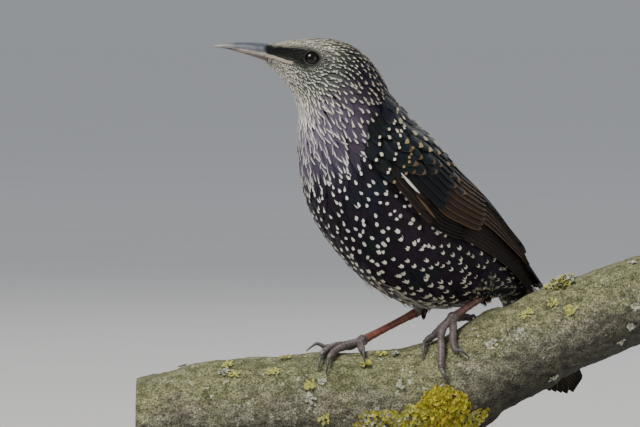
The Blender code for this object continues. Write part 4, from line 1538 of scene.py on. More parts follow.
    def lashes(self, socket: Socket) -> Flock:
        """The smallest feathers, in rings behind and beside an eye.

        Args:
            socket: The eye's place.

        Returns:
            The feathers.
        """
        rng = np.random.default_rng(self.seed + 2)
        step, turn = BODY.metric(np.array([socket.place]), np.array([socket.angle]))
        way = np.concatenate([np.arange(-135.0, 135.0, 9.0) + 4.5 * (row % 2) for row in range(3)])
        count = len(way)
        out = socket.radius * np.repeat((0.93, 1.08, 1.25), count // 3)
        along, aside = np.cos(np.radians(way)), np.sin(np.radians(way))
        place, angle = socket.place + out * along / step, socket.angle + out * aside / turn
        return Flock(
            place=place,
            angle=angle,
            length=rng.uniform(1.2, 1.6, count),
            half_width=0.42,
            heading=np.degrees(np.arctan2(aside, 0.7 * along + 0.5)),
            root_height=-0.15,
            tip_height=0.3,
            **self.zoned(place, angle, rng),
        )

    @staticmethod
    def parted(flock: Flock, socket: Socket) -> Flock:
        """Make the feathers flow round an eye as water flows round a post.

        Args:
            flock: The feathers.
            socket: The eye's place.

        Returns:
            The feathers that are left, turned and shortened where they would cover the eye.
        """
        along, aside = socket.offset(BODY, flock.place, flock.angle)
        far = np.hypot(along, aside)
        ratio = (socket.radius / np.maximum(far, socket.radius)) ** 2
        unit_along, unit_aside = along / np.maximum(far, 0.01), aside / np.maximum(far, 0.01)
        flow_along = 1 - ratio * (unit_along**2 - unit_aside**2)
        flow_aside = -2 * ratio * unit_along * unit_aside
        near = far < socket.radius * 3.5
        turn = np.degrees(np.arctan2(flow_aside, flow_along))
        flock.heading = np.where(near, flock.heading * 0.5 + turn, flock.heading)
        room = np.maximum(far - socket.radius, 0.35)
        into = near & (along < 0) & (np.abs(aside) < socket.radius)
        flock.length = np.where(into, np.minimum(flock.length, room * 0.95), flock.length)
        return flock.chosen(far > socket.radius * 1.02)


class CoatPart(Enum):
    """The lengths of the body that the coat is split into, as places from and to."""

    HEAD = (0.0, 2.9, "plumage_head")
    CHEEK = (2.9, 5.0, "plumage_head")
    NECK = (5.0, 8.2, "plumage_neck")
    BREAST = (8.2, 12.2, "plumage_body")
    BELLY = (12.2, 18.0, "plumage_body")


@dataclass(frozen=True)
class BodyCover:
    """The skin of body and thighs, and the coat over it."""

    skin_depth: float = 1.3
    rings: int = 150
    sides: int = 72

    def skin(self, legs: tuple["Leg", ...]) -> None:
        """One skin for head, neck, body and thighs.

        Args:
            legs: The legs, whose thighs join the skin.
        """
        def place_of(across: Array, along: Array) -> Array:
            """The surface's points, from 0..1 across and along."""
            place = along * BODY.last
            depth = -self.skin_depth * smoothstep(0, 2, place) - 0.25
            return BODY.point(place, across * 360, depth, domed(along, 0.012))

        bm = wrapped(self.sides, self.rings, place_of)
        for leg in legs:
            joined(bm, leg.thigh_skin())
        item = Piece.from_bmesh("skin", bm, [SkinFinish().make()])
        nodes = ("head", "neck", "torso", "thigh_left", "thigh_right")
        Piece.register(item, "plumage_body", nodes)

    def coat(self, material: Material, fine: Material) -> None:
        """The small feathers, in a piece for each length of the body.

        Args:
            material: The finish of the body's feathers.
            fine: The finish of the head's feathers.
        """
        flock = Coat().flock()
        small = Vane(2, 5, full=0.3, taper=0.3, roundness=1.35, thickness=0.07)
        large = Vane(4, 8, full=0.35, taper=0.5, roundness=1.8, thickness=0.12)
        for part in CoatPart:
            low, high, slot = part.value
            kept = flock.chosen((flock.place >= low) & (flock.place < high))
            on_head = slot == "plumage_head"
            feathers = FeatherMesh("coat_" + part.name.lower(), small if on_head else large)
            feathers.lay(BODY, kept)
            if part is CoatPart.HEAD:
                feathers.lay(BODY, Coat().bristles())
                for side in (1, -1):
                    feathers.lay(BODY, Coat().lashes(EYES.socket(side)))
            elif part is CoatPart.BELLY:
                feathers.lay(BODY, Coat().wisps())
            feathers.build(fine if on_head else material, slot)


@dataclass(frozen=True)
class WingTract:
    """A row of vanes on the folded wing, from its lowest to its highest, in degrees round it."""

    count: int
    root: float
    tips: tuple[float, float]
    root_angles: tuple[float, float]
    tip_angles: tuple[float, float]
    depth: tuple[float, float]
    base: Tone
    edge: Tone
    fringe: float
    overlap: float = 0.95
    tip: Tone = Tone.GOLD
    mark: tuple[float, float, float] = HIDDEN_MARK


@dataclass(frozen=True)
class CovertRow:
    """A row of small feathers on the wing, with its tips on a line between two places."""

    count: int
    first: tuple[float, float]
    last: tuple[float, float]
    length: float
    half_width: float
    lift: float
    base: Tone = Tone.TEAL_BLACK
    tip: Tone = Tone.GOLD
    mark: tuple[float, float, float] = (0.91, -0.15, 1.0)
    fringe: float = 0.0
    root_height: float = -2.1
    turn: float = 0.0


@dataclass(frozen=True)
class Wing:
    """A folded wing."""

    name: str
    side: int
    wrist: float = 0.55
    vane_step: float = 0.6
    seed: int = 11
    pad_places: tuple[float, float] = (8.0, 12.7)
    pad_top: tuple[float, float, float] = (58.0, 24.0, 12.0)
    pad_low: tuple[float, float, float] = (72.0, 103.0, 84.0)
    tracts: tuple[WingTract, ...] = (
        WingTract(
            3, 0.42, (0.97, 0.95), (42.0, 2.0), (46.0, 0.0), (-1.9, -1.5),
            Tone.DARK_BROWN, Tone.RUST, 0.08, 1.2,
        ),
        WingTract(
            9, 0.36, (1.00, 0.80), (98.0, 66.0), (95.0, 40.0), (-1.8, -2.6),
            Tone.DARK_BROWN, Tone.RUST, 0.1, 1.1,
        ),
        WingTract(
            6, 0.34, (0.81, 0.84), (72.0, 40.0), (64.0, 26.0), (-1.2, -1.1),
            Tone.BROWN, Tone.WARM, 0.22, 1.0,
        ),
        WingTract(
            3, 0.28, (0.80, 0.56), (42.0, 12.0), (32.0, 3.0), (-0.2, 0.1),
            Tone.SLATE, Tone.RUST, 0.14, 0.95, Tone.GREY_TIP, (0.93, -0.3, 1.0),
        ),
        WingTract(
            9, 0.22, (0.49, 0.46), (86.0, 34.0), (84.0, 32.0), (-0.6, 0.4),
            Tone.BROWN, Tone.WARM, 0.16, 1.0, Tone.WARM, (0.95, -0.3, 0.8),
        ),
        WingTract(
            6, 0.16, (0.46, 0.42), (101.0, 84.0), (100.0, 82.0), (-0.9, -0.2), Tone.BLACK, Tone.WARM, 0.1,
        ),
        WingTract(
            9, 0.11, (0.30, 0.27), (88.0, 30.0), (86.0, 30.0), (-0.8, 0.7),
            Tone.TEAL_BLACK, Tone.RUST, 0.06,
        ),
        WingTract(
            3, 0.06, (0.30, 0.22), (101.0, 88.0), (101.0, 88.0), (-0.9, 0.4),
            Tone.DARK_BROWN, Tone.GOLD, 0.12,
        ),
    )
    rows: tuple[CovertRow, ...] = (
        CovertRow(
            13, (0.02, 103.0), (-0.04, 34.0), 8.0, 2.1, 0.3, Tone.BLACK, Tone.CREAM, (0.83, -0.5, 0.36),
        ),
        CovertRow(
            11, (0.06, 102.0), (0.01, 44.0), 9.0, 2.2, 0.5, Tone.BLACK, Tone.CREAM, (0.85, -0.5, 0.34),
        ),
        CovertRow(
            8, (0.11, 101.0), (0.08, 66.0), 10.0, 2.3, 0.6, Tone.BLACK, Tone.BUFF, (0.88, -0.4, 0.34),
        ),
        CovertRow(2, (0.13, 88.0), (0.12, 74.0), 10.0, 2.7, 0.9),
        CovertRow(6, (0.09, 84.0), (0.37, 56.0), 14.0, 3.5, 1.0, fringe=0.08),
        CovertRow(6, (0.05, 77.0), (0.34, 45.0), 14.0, 3.5, 1.2, fringe=0.08),
        CovertRow(
            6, (0.02, 69.0), (0.32, 34.0), 14.0, 3.4, 1.3, Tone.BLUE_BLACK, Tone.BUFF, (0.86, -0.4, 0.6),
        ),
        CovertRow(
            6, (-0.01, 61.0), (0.30, 22.0), 13.0, 3.3, 1.4,
            Tone.BLUE_BLACK, Tone.OLIVE_CREAM, (0.80, -0.5, 0.42),
        ),
        CovertRow(
            6, (-0.03, 52.0), (0.27, 11.0), 13.0, 3.2, 1.4,
            Tone.BLUE_BLACK, Tone.OLIVE_CREAM, (0.80, -0.5, 0.42),
        ),
        CovertRow(
            5, (-0.05, 42.0), (0.24, 0.0), 12.0, 3.0, 1.2,
            Tone.BLUE_BLACK, Tone.OLIVE_CREAM, (0.80, -0.5, 0.42),
        ),
        CovertRow(
            1, (0.185, 93.0), (0.185, 93.0), 11.5, 0.55, 2.3,
            Tone.WHITE, Tone.WHITE, root_height=0.9, turn=9.0,
        ),
        CovertRow(1, (0.29, 96.0), (0.29, 96.0), 14.0, 0.5, 1.5, Tone.GOLD, Tone.GOLD, root_height=1.3),
    )

    @cached_property
    def reach(self) -> tuple[Array, Array]:
        """Places along the wing and their distances from the wrist."""
        places = np.linspace(self.wrist, WING_SIDE.last, 81)
        centres = WING_SIDE.values(places)[:, :3]
        steps = np.linalg.norm(np.diff(centres, axis=0), axis=1)
        return places, np.concatenate([[0.0], np.cumsum(steps)])

    def station(self, fraction: Array) -> Array:
        """The place on the wing at fractions of its length."""
        places, reach = self.reach
        return np.interp(np.asarray(fraction) * reach[-1], reach, places)

    def vane_points(self, tract: WingTract, index: int, vane: Vane) -> Array:
        """The points of one vane, whose lower edge lies over the next vane's upper edge.

        Args:
            tract: Its row.
            index: Its number in the row, from the lowest.
            vane: The feather's shape.

        Returns:
            One point for each of the template's.
        """
        template, _ = vane.template
        across, along, face = template.T
        row = index / max(tract.count - 1, 1)
        tip = blend(*tract.tips, row)
        middle_of = (index + 0.5) / tract.count
        ends = tract.root_angles, tract.tip_angles
        middles = (blend(*angles, middle_of) for angles in ends)
        halves = (tract.overlap * abs(last - first) / tract.count for first, last in ends)
        fraction = blend(tract.root, tip, along)
        reach = (fraction - tract.root) / (max(tract.tips) - tract.root)
        half = blend(*halves, reach) * vane.width(along)
        angle = blend(*middles, reach) + across * half
        margin = blend(*tract.depth, np.minimum(1.0, reach * 1.4))
        shaft = vane.shaft * np.exp(-((across / 0.12) ** 2)) * (1 - along) * (face > 0)
        rise = margin + across * self.vane_step * tract.overlap + vane.thickness * face / 2 + shaft
        return WING_SIDE.point(self.station(fraction), self.side * angle, rise)

    def flight(self, material: Material) -> None:
        """The flight feathers and large coverts, vane by vane.

        Args:
            material: Their finish.
        """
        vane = replace(STIFF_VANE, taper=0.8, narrow=0.55)
        feathers = FeatherMesh("flight_" + self.name, vane)
        rng = np.random.default_rng(self.seed)
        cells = [(t, i) for t, tract in enumerate(self.tracts) for i in range(tract.count)]
        across_cells = math.ceil(math.sqrt(len(cells)))
        for number, (t, i) in enumerate(cells):
            tract = self.tracts[t]
            points = self.vane_points(tract, i, vane)[None]
            looks = Flock.of_looks(
                np.array(tract.base.linear) * rng.uniform(0.85, 1.15),
                np.array(tract.tip.linear) * rng.uniform(0.85, 1.1),
                np.array(tract.edge.linear) * rng.uniform(0.85, 1.1),
                tract.mark,
                tract.fringe,
            )
            cell = np.array([[number % across_cells, number // across_cells]]) + 0.5
            feathers.store(points, looks, cell / across_cells, 0.9 / across_cells)
        feathers.build(material, "plumage_wing", ("wing_" + self.name,))

    def coverts(self, material: Material) -> None:
        """The small coverts and the shoulder feathers, in rows on the wing's front and top.

        Args:
            material: Their finish.
        """
        rng = np.random.default_rng(self.seed + 1)
        feathers = FeatherMesh("coverts_" + self.name, COVERT_VANE)
        for row in self.rows:
            share = (np.arange(row.count) + 0.5) / row.count
            fraction = blend(row.first[0], row.last[0], share) + rng.normal(0, 0.004, row.count)
            angle = self.side * (blend(row.first[1], row.last[1], share) + rng.normal(0, 0.8, row.count))
            tip_place = self.station(np.maximum(fraction, 0)) + np.minimum(fraction, 0) * 10.7
            step, _ = WING_SIDE.metric(tip_place - 0.5, angle)
            length = np.minimum(row.length * rng.uniform(0.94, 1.06, row.count), (tip_place + 0.7) * step)
            tip = row.tip.linear * rng.uniform(0.8, 1.15, (row.count, 1))
            flock = Flock(
                place=tip_place - length / step,
                angle=angle,
                length=length,
                half_width=row.half_width,
                heading=rng.normal(0, 3.0, row.count) * (row.count > 1) + row.turn * self.side,
                root_height=row.root_height,
                tip_height=row.lift + rng.normal(0, 0.12, row.count),
                base=row.base.linear * rng.uniform(0.8, 1.2, (row.count, 1)),
                tip=tip,
                edge=tip,
                mark=row.mark,
                fringe=row.fringe,
                curl=rng.normal(0, 4.0, row.count),
            )
            feathers.lay(WING_SIDE, flock)
        feathers.build(material, "plumage_wing")

    def pad(self, material: Material) -> None:
        """The arm and hand under the coverts, a low pad on the body's side.

        Args:
            material: Its finish.
        """
        def place_of(across: Array, along: Array) -> Array:
            """The surface's points, from 0..1 across and along."""
            place = blend(*self.pad_places, along)
            full = np.sqrt(1 - (1 - np.minimum(1.0, along / 0.35)) ** 2)
            top, low = (
                blend(front, blend(middle, back, along), full)
                for front, middle, back in (self.pad_top, self.pad_low)
            )
            outer = across < 0.5
            down = np.where(outer, across * 2, (1 - across) * 2)
            bulge = np.sin(math.pi * down) ** 0.8
            height = np.where(outer, 0.2 + 2.2 * bulge * (0.25 + 0.75 * full), -0.6)
            return BODY.point(place, self.side * blend(top, low, down), height)

        bm = wrapped(36, 24, place_of)
        item = Piece.from_bmesh("arm_" + self.name, bm, [material])
        Piece.register(item, "plumage_wing")


@dataclass(frozen=True)
class Tail:
    """The tail: twelve feathers, the middle pair on top, and the coverts over their roots."""

    length: float = 55.4
    roll: float = 22.0
    rounding: float = 1.35
    step: float = 0.75
    pairs: int = 6
    gap: float = 0.3
    start: float = 3.0
    top: float = 2.9
    root_shape: tuple = (
        (-6.0, 1.0, 1.0, 0.0),
        (0.0, 1.0, 1.0, 0.0),
        (7.0, 0.98, 0.86, -0.1),
        (15.0, 0.9, 0.6, -0.3),
        (22.0, 0.7, 0.3, -0.2),
    )
    seed: int = 23

    @cached_property
    def axes(self) -> tuple[Array, Array, Array, Array]:
        """The tail's base and its directions to the tip, the back and the left."""
        section = BODY.section(BODY.last)
        tailward, upward, leftward = section.axes
        turn = np.array(Matrix.Rotation(-math.radians(self.roll), 3, Vector(tailward)))
        return section.centre + tailward * self.gap, tailward, turn @ upward, turn @ leftward

    def vane_points(self, index: int, side: int, vane: Vane) -> Array:
        """The points of one tail feather.

        Args:
            index: Its number, from the middle.
            side: 1 for the bird's left and -1 for its right.
            vane: The feather's shape.

        Returns:
            One point for each of the template's.
        """
        template, _ = vane.template
        across, along, face = template.T
        base, tailward, upward, leftward = self.axes
        middle = blend(0.9 + index * 0.75, 1.5 + index * 1.85, along)
        half = 3.1 if index < self.pairs - 1 else 2.7
        length = self.length - self.rounding * index
        drop = -index * self.step - (self.step / 2 if side < 0 else 0.0)
        reach = self.start + along * (length - self.start)
        shaft = vane.shaft * np.exp(-((across / 0.12) ** 2)) * (1 - along) * (face > 0)
        height = self.top + drop - 0.25 * across**2 + vane.thickness * face / 2 + shaft
        aside = side * (middle + across * half * vane.width(along))
        return base + np.outer(reach, tailward) + np.outer(aside, leftward) + np.outer(height, upward)

    def build(self, material: Material) -> None:
        """The tail feathers and their coverts.

        Args:
            material: Their finish.
        """
        vane = replace(STIFF_VANE, taper=0.86, narrow=0.7)
        feathers = FeatherMesh("tail_feathers", vane)
        rng = np.random.default_rng(self.seed)
        for side in (1, -1):
            for index in range(self.pairs):
                points = self.vane_points(index, side, vane)[None]
                looks = Flock.of_looks(
                    np.array(Tone.DARK_BROWN.linear) * rng.uniform(0.85, 1.15),
                    Tone.RUST.linear,
                    np.array(Tone.BUFF.linear) * rng.uniform(0.5, 0.7),
                    HIDDEN_MARK,
                    0.13,
                )
                cell = np.array([[(index + 0.5) / self.pairs, (1.5 - side) / 2]])
                feathers.store(points, looks, cell, 0.14)
        feathers.build(material, "plumage_tail", ("tail",))

    def coverts(self, material: Material) -> None:
        """The feathers over and under the tail's root.

        Args:
            material: Their finish.
        """
        base, tailward, upward, _ = self.axes
        rng = np.random.default_rng(self.seed + 1)
        end = BODY.section(BODY.last)
        core = []
        for along, wide, deep, lift in self.root_shape:
            middle = base + tailward * along + upward * lift
            core.append(Section(*middle, end.pitch, end.yaw, 8.5 * wide, 6.5 * deep))
        root = Loft(tuple(core))
        item = Piece.from_bmesh("tail_root", root.tube(40, 24, -1.2, 0.1), [material])
        Piece.register(item, "plumage_tail")
        places, angles = [], []
        for row, place in enumerate(np.linspace(0.1, 2.9, 8)):
            count = 12 if row < 6 else 9
            places.append(np.full(count, place))
            angles.append(staggered(count, row) + rng.normal(0, 2, count))
        place, angle = np.concatenate(places), np.concatenate(angles)
        count = len(place)
        under = smoothstep(90, 130, from_back(angle))[:, None]
        tip_tone = Tone.BUFF.linear * (1 - under) + Tone.CREAM.linear * under
        flock = Flock(
            place=place,
            angle=angle,
            length=blend(11.0, 15.0, place / 3) * rng.uniform(0.9, 1.1, count),
            half_width=2.9,
            heading=rng.normal(0, 3.0, count),
            root_height=-1.3,
            tip_height=0.1 + rng.normal(0, 0.1, count),
            base=Tone.SOOT.linear * (1 - under) + Tone.DARK_BROWN.linear * under,
            tip=tip_tone,
            edge=tip_tone,
            mark=(0.84, -0.3, 0.6),
            fringe=0.1,
        )
        feathers = FeatherMesh("coverts_tail", COVERT_VANE)
        feathers.lay(root, flock)
        feathers.build(material, "plumage_tail")


@dataclass(frozen=True)
class Bill:
    """The two mandibles and the soft corners of the mouth."""

    length: float = 24.5
    upper_height: float = 5.2
    lower_height: float = 3.5
    half_width: float = 3.8
    gap: float = 0.3
    nostril: tuple[float, float, float] = (2.3, 1.9, 3.35)
    back: float = 3.2
    mouth: tuple = ((-3.0, -0.45), (0.0, -0.55), (3.0, -1.15), (6.0, -1.65), (8.4, -1.8))
    slate: tuple[float, float, float] = (0.088, 0.096, 0.122)
    point_tone: tuple[float, float, float] = (0.36, 0.34, 0.31)
    cream: tuple[float, float, float] = (0.55, 0.49, 0.40)
    flesh: tuple[float, float, float] = (0.115, 0.088, 0.082)
    corner_tone: tuple[float, float, float, float] = (0.40, 0.34, 0.26, 1.0)

    @cached_property
    def axes(self) -> tuple[Array, Array, Array, Array]:
        """The bill's base and its directions to the tip, up and left."""
        section = BODY.section(0.0)
        tailward, upward, leftward = section.axes
        return section.centre, -tailward, upward, leftward

    def profile(self, t: Array) -> tuple[Array, Array, Array, Array]:
        """Half width, culmen, mouth line and lower edge at fractions of the bill's length.

        Args:
            t: Shares of the bill's length.

        Returns:
            The four sizes, for each share.
        """
        half_width = self.half_width * (1 - t) ** 0.75 + 0.25
        culmen = (self.upper_height - 0.4) * (1 - t**3) ** 0.7 * (1 - 0.33 * t)
        mouth = -0.45 + t**0.7 - 0.45 * t**4
        lower = -self.lower_height * (1 - t) ** 1.35 - 0.45
        return half_width, culmen, mouth, np.minimum(lower + mouth + 0.45, mouth - 0.3)

    def mandible(self, upper: bool) -> BMesh:
        """One mandible: an arch over or under the mouth line, drawn out to a point.

        Args:
            upper: Whether it is the upper one.

        Returns:
            A closed bmesh, in millimetres.
        """
        base, forward, upward, leftward = self.axes
        short = 1.0 if upper else 0.975

        def place_of(across: Array, along: Array) -> Array:
            """The surface's points, from 0..1 across and along."""
            t = np.clip(along * short, 0, 0.9999)
            half_width, culmen, mouth, lower = self.profile(t)
            edge = mouth + self.gap / 2 if upper else mouth - self.gap / 2
            crown = np.maximum(culmen, edge + 0.3) if upper else np.minimum(lower, edge - 0.25)
            turn = across * math.tau
            arch = np.maximum(np.sin(turn), 0) ** 0.9
            inside = np.minimum(np.sin(turn), 0) * 0.12
            closing = np.sqrt(np.clip(1 - np.clip((along - 0.97) / 0.03, 0, 1) ** 2, 0, 1))
            ridge = 1 + 0.05 * np.exp(-(((across - 0.25) / 0.04) ** 2)) * (1 if upper else 0)
            rise = edge + (crown - edge) * (arch * ridge + inside) * closing
            aside = half_width * np.cos(turn) * closing
            reach = along * (self.length * short + self.back) - self.back
            aside = aside * (1 + 0.22 * np.clip(-reach / self.back, 0, 1))
            pairs = (reach, forward), (rise, upward), (aside, leftward)
            return base + sum(np.outer(*pair) for pair in pairs)

        return wrapped(48, 60, place_of)

    def build(self) -> None:
        """Both mandibles with their horn's colours, and the corners of the mouth."""
        base, forward, upward, leftward = self.axes
        for upper in (True, False):
            name = "mandible_upper" if upper else "mandible_lower"
            bm = self.mandible(upper)
            if upper:
                self.cut_nostrils(bm)
            item = Piece.from_bmesh(name, bm, [HornFinish(name).make()], 35)
            points = np.array([vertex.co[:] for vertex in item.data.vertices]) / MM - base
            t = np.clip(points @ forward / self.length, 0, 1)
            height, aside = points @ upward, np.abs(points @ leftward)
            _, _, mouth, _ = self.profile(t)
            near_edge = np.exp(-(((height - mouth) / 0.55) ** 2)) * smoothstep(0.75, 0.45, t)
            point_mix = smoothstep(0.55, 1.0, t)[:, None] * (0.8 if upper else 0.35)
            horn = self.slate if upper else self.flesh
            colour = horn * (1 - point_mix) + self.point_tone * point_mix
            edge_mix = (near_edge * (0.95 if upper else 0.5))[:, None]
            colour = colour * (1 - edge_mix) + self.cream * edge_mix
            if upper:
                dark = 0.35 * np.exp(-(((t - 0.12) / 0.08) ** 2) - ((height - 2.1) / 1.0) ** 2)
                colour = colour * (1 - dark[:, None])
            opaque = np.concatenate([colour, np.ones((len(t), 1))], 1)
            Piece.paint(item.data, "Horn", "FLOAT_COLOR", opaque)
            Piece.register(item, "bill", ("bill_upper",) if upper else ("bill_lower",))
        self.mouth_corners()

    def cut_nostrils(self, bm: BMesh) -> None:
        """Press a slit into each side of the upper mandible for the nostrils.

        Args:
            bm: The upper mandible, which is changed.
        """
        base, forward, upward, leftward = self.axes
        forth, rise, aside = self.nostril
        for vertex in bm.verts:
            place = np.array(vertex.co) - base
            along, high, out = place @ forward, place @ upward, place @ leftward
            if abs(out) < 0.8:
                continue
            slope = 0.25 * (along - forth)
            deep = math.exp(-(((along - forth) / 1.1) ** 4) - ((high - rise + slope) / 0.42) ** 2)
            vertex.co -= Vector(leftward) * (math.copysign(0.9, out) * deep)

    def mouth_corners(self) -> None:
        """The pale soft rims that carry the mouth line back under the eye."""
        base, forward, upward, leftward = self.axes
        bm = bmesh.new()
        for side in (1, -1):
            for lift, thick in ((0.3, 0.4), (-0.32, 0.36)):
                path, radii = [], []
                for back, height in self.mouth:
                    middle = base - forward * back + upward * (height + lift)
                    if back <= 0:
                        half = self.half_width * 1.02 + 0.25
                        path.append(tuple(middle + leftward * side * half))
                    else:
                        path.append(tuple(self.on_head(middle, leftward * side)))
                    radii.append(thick * float(np.interp(back, (3.0, 8.4), (1.0, 0.25))))
                points = smooth_path(path, 24)
                sizes = list(np.interp(np.linspace(0, 4, 25), range(5), radii))
                limb = Loft.along(points, sizes)
                joined(bm, limb.tube(12, 48))
        item = Piece.from_bmesh("mouth_corners", bm, [HornFinish("mouth_corners", 0.45).make()])
        count = len(item.data.vertices)
        Piece.paint(item.data, "Horn", "FLOAT_COLOR", np.tile(self.corner_tone, (count, 1)))
        Piece.register(item, "bill")

    @staticmethod
    def on_head(start: Array, outward: Array) -> Array:
        """Where a ray from inside the head meets its surface.

        Args:
            start: The ray's start, in millimetres.
            outward: Its direction.

        Returns:
            The point.
        """
        places, angles = np.meshgrid(np.linspace(0, 2.5, 101), np.arange(-180.0, 180.0, 1.5))
        grid = BODY.point(places, angles, 0.05)
        away = grid - start
        along = away @ outward
        off = np.linalg.norm(away - along[..., None] * outward, axis=-1) + np.where(along > 0, 0, 99)
        best = np.unravel_index(off.argmin(), off.shape)
        return start + outward * along[best]


@dataclass(frozen=True)
class Eyes:
    """The eyeballs and the thin rings of their lids."""

    pair: EyePair = EYES
    lid_radius: float = 2.95
    lid_thickness: float = 0.42
    lid_lift: float = 1.25

    def build(self) -> None:
        """Both eyes and their lids."""
        wet = EyeFinish().make()
        lid = ScaleFinish("lid", (0.010, 0.009, 0.009), (0.022, 0.020, 0.017), (0.005, 0.005, 0.005)).make()
        for name, side in (("left", 1), ("right", -1)):
            matrix = self.pair.matrix(side)
            bm = bmesh.new()
            bmesh.ops.create_uvsphere(bm, u_segments=48, v_segments=32, radius=1.0)
            local = np.array([vertex.co[:] for vertex in bm.verts])
            size = (self.pair.radius, self.pair.radius, self.pair.bulge)
            bmesh.ops.scale(bm, vec=size, verts=bm.verts)
            bmesh.ops.transform(bm, matrix=matrix, verts=bm.verts)
            item = Piece.from_bmesh("eyeball_" + name, bm, [wet])
            Piece.paint(item.data, "Dial", "FLOAT_VECTOR", local * (1, 1, 0))
            Piece.register(item, "eye", ("eye_" + name,))
            item = Piece.from_bmesh("lids_" + name, self.lid_ring(matrix), [lid])
            Piece.paint(item.data, "Groove", "FLOAT", np.zeros(len(item.data.vertices)))
            Piece.register(item, "plumage_head")

    def lid_ring(self, matrix: Matrix) -> BMesh:
        """A ring of small beads round an eye, drawn out a little at its corners.

        Args:
            matrix: The eye's placing.

        Returns:
            A closed bmesh, in millimetres.
        """
        def place_of(across: Array, along: Array) -> Array:
            """The surface's points, from 0..1 across and along."""
            turn, lean = along * math.tau, across * math.tau
            corner = 1 + 0.09 * np.cos(turn) ** 2
            bead = 1 + 0.14 * np.abs(np.sin(turn * 17))
            radius = self.lid_radius + self.lid_thickness * bead * np.cos(lean)
            height = self.lid_lift + self.lid_thickness * 1.5 * bead * np.sin(lean)
            return np.stack([radius * np.cos(turn) * corner, radius * np.sin(turn) * 0.96, height], -1)

        bm = wrapped(10, 136, place_of)
        bmesh.ops.transform(bm, matrix=matrix, verts=bm.verts)
        return bm


@dataclass(frozen=True)
class Perch:
    """A short cut length of a branch: its axis as X, height and radius."""

    axis: tuple = (
        (-108.0, 39.5, 20.0),
        (-76.0, 45.6, 21.2),
        (-40.0, 47.4, 22.2),
        (0.0, 49.2, 22.5),
        (20.5, 54.9, 21.6),
        (41.0, 66.4, 20.0),
        (65.6, 79.1, 18.8),
        (106.0, 93.4, 17.7),
    )
    relief: float = 0.8
    rings: int = 260
    sides: int = 150
    seed: int = 5

    @cached_property
    def table(self) -> Loft:
        """The axis as a curve."""
        return Loft(tuple(Section(x, height, radius, 0, 0, 1, 1) for x, height, radius in self.axis))

    def middle(self, x: Array) -> tuple[Array, Array]:
        """The centre height and radius at places along X.

        Args:
            x: Places along X.

        Returns:
            The heights and the radii.
        """
        knots = [knot[0] for knot in self.axis]
        value = self.table.values(np.interp(x, knots, range(len(knots))))
        return value[..., 1], value[..., 2]

    def over(self, x: Array, angle: Array, height: Array) -> Array:
        """Points over the perch: the angle is from its top, positive towards -Y.

        Args:
            x: Places along X.
            angle: Degrees from the top.
            height: Heights over the mean surface.

        Returns:
            The points.
        """
        x = np.asarray(x, float)
        centre, radius = self.middle(x)
        slope = np.arctan2(self.middle(x + 1.0)[0] - self.middle(x - 1.0)[0], 2.0)
        turn, out = np.radians(angle), radius + height
        rise = out * np.cos(turn) / np.cos(slope)
        return np.stack(np.broadcast_arrays(x, -out * np.sin(turn), centre + rise), -1)

    @cached_property
    def ground(self) -> Loft:
        """The perch's mean surface, as sections square to its axis."""
        x = np.linspace(self.axis[0][0], self.axis[-1][0], 41)
        centre, radius = self.middle(x)
        return Loft.along([Vector((a, 0.0, b)) for a, b in zip(x, centre)], list(radius))

    def place_at(self, x: Array) -> Array:
        """The place on the ground at places along X."""
        return (x - self.axis[0][0]) / (self.axis[-1][0] - self.axis[0][0]) * self.ground.last

    def build(self) -> None:
        """The branch with its uneven bark and sawn ends."""
        first, last = self.axis[0][0], self.axis[-1][0]

        def place_of(across: Array, along: Array) -> Array:
            """The surface's points, from 0..1 across and along."""
            x = blend(first, last, along)
            bare = self.over(x, across * 360, 0.0)
            rise = np.array([self.bark(Vector(point)) for point in bare])
            inside = smoothstep(0.0, 0.012, along) * smoothstep(1.0, 0.988, along)
            return self.over(x, across * 360, rise * inside - 0.25)

        bm = wrapped(self.sides, self.rings, place_of)
        bm.faces.ensure_lookup_table()
        for face in bm.faces:
            face.material_index = 1 if len(face.verts) > 4 else 0
        bm.normal_update()
        item = Piece.from_bmesh("branch", bm, [BarkFinish().make(), SawnFinish().make()], 60)
        points = np.array([vertex.co[:] for vertex in item.data.vertices]) / MM
        groove = np.array([self.crack(Vector(point)) for point in points])
        Piece.paint(item.data, "Groove", "FLOAT", groove)
        centre, _ = self.middle(points[:, 0])
        dial = np.stack([points[:, 1], points[:, 2] - centre, 0 * centre], -1)
        Piece.paint(item.data, "Dial", "FLOAT_VECTOR", dial)
        Piece.register(item, "perch", ("perch",))

    @staticmethod
    def crack(point: Vector) -> float:
        """How deep in a crack of the bark a point is, 0 to 1.

        Args:
            point: A place in millimetres.

        Returns:
            0 outside the cracks and 1 in their middles.
        """
        wide = Vector((point.x * 0.45, point.y, point.z)) / 5.0
        lines = 1 - abs(noise.noise(wide)) * 5
        return max(0.0, lines)

    def bark(self, point: Vector) -> float:
        """The height of the bark over its mean surface at a point.

        Args:
            point: A place in millimetres.

        Returns:
            The height in millimetres.
        """
        broad = noise.noise(point / 14.0) + 0.5 * noise.noise(point / 6.0)
        rough = 0.30 * noise.noise(point / 2.6) + 0.26 * noise.noise(point / 1.3)
        return self.relief * (broad + rough - 0.3 - 0.15 * self.crack(point))


PERCH = Perch()


@dataclass(frozen=True)
class LichenPatch:
    """Lobes about a place of the perch, within half sizes along it in mm and round it in degrees."""

    x: float
    angle: float
    half_long: float
    half_round: float
    count: int
    tones: tuple[Tone, ...]
    size: float = 2.2
    rise: float = 1.6


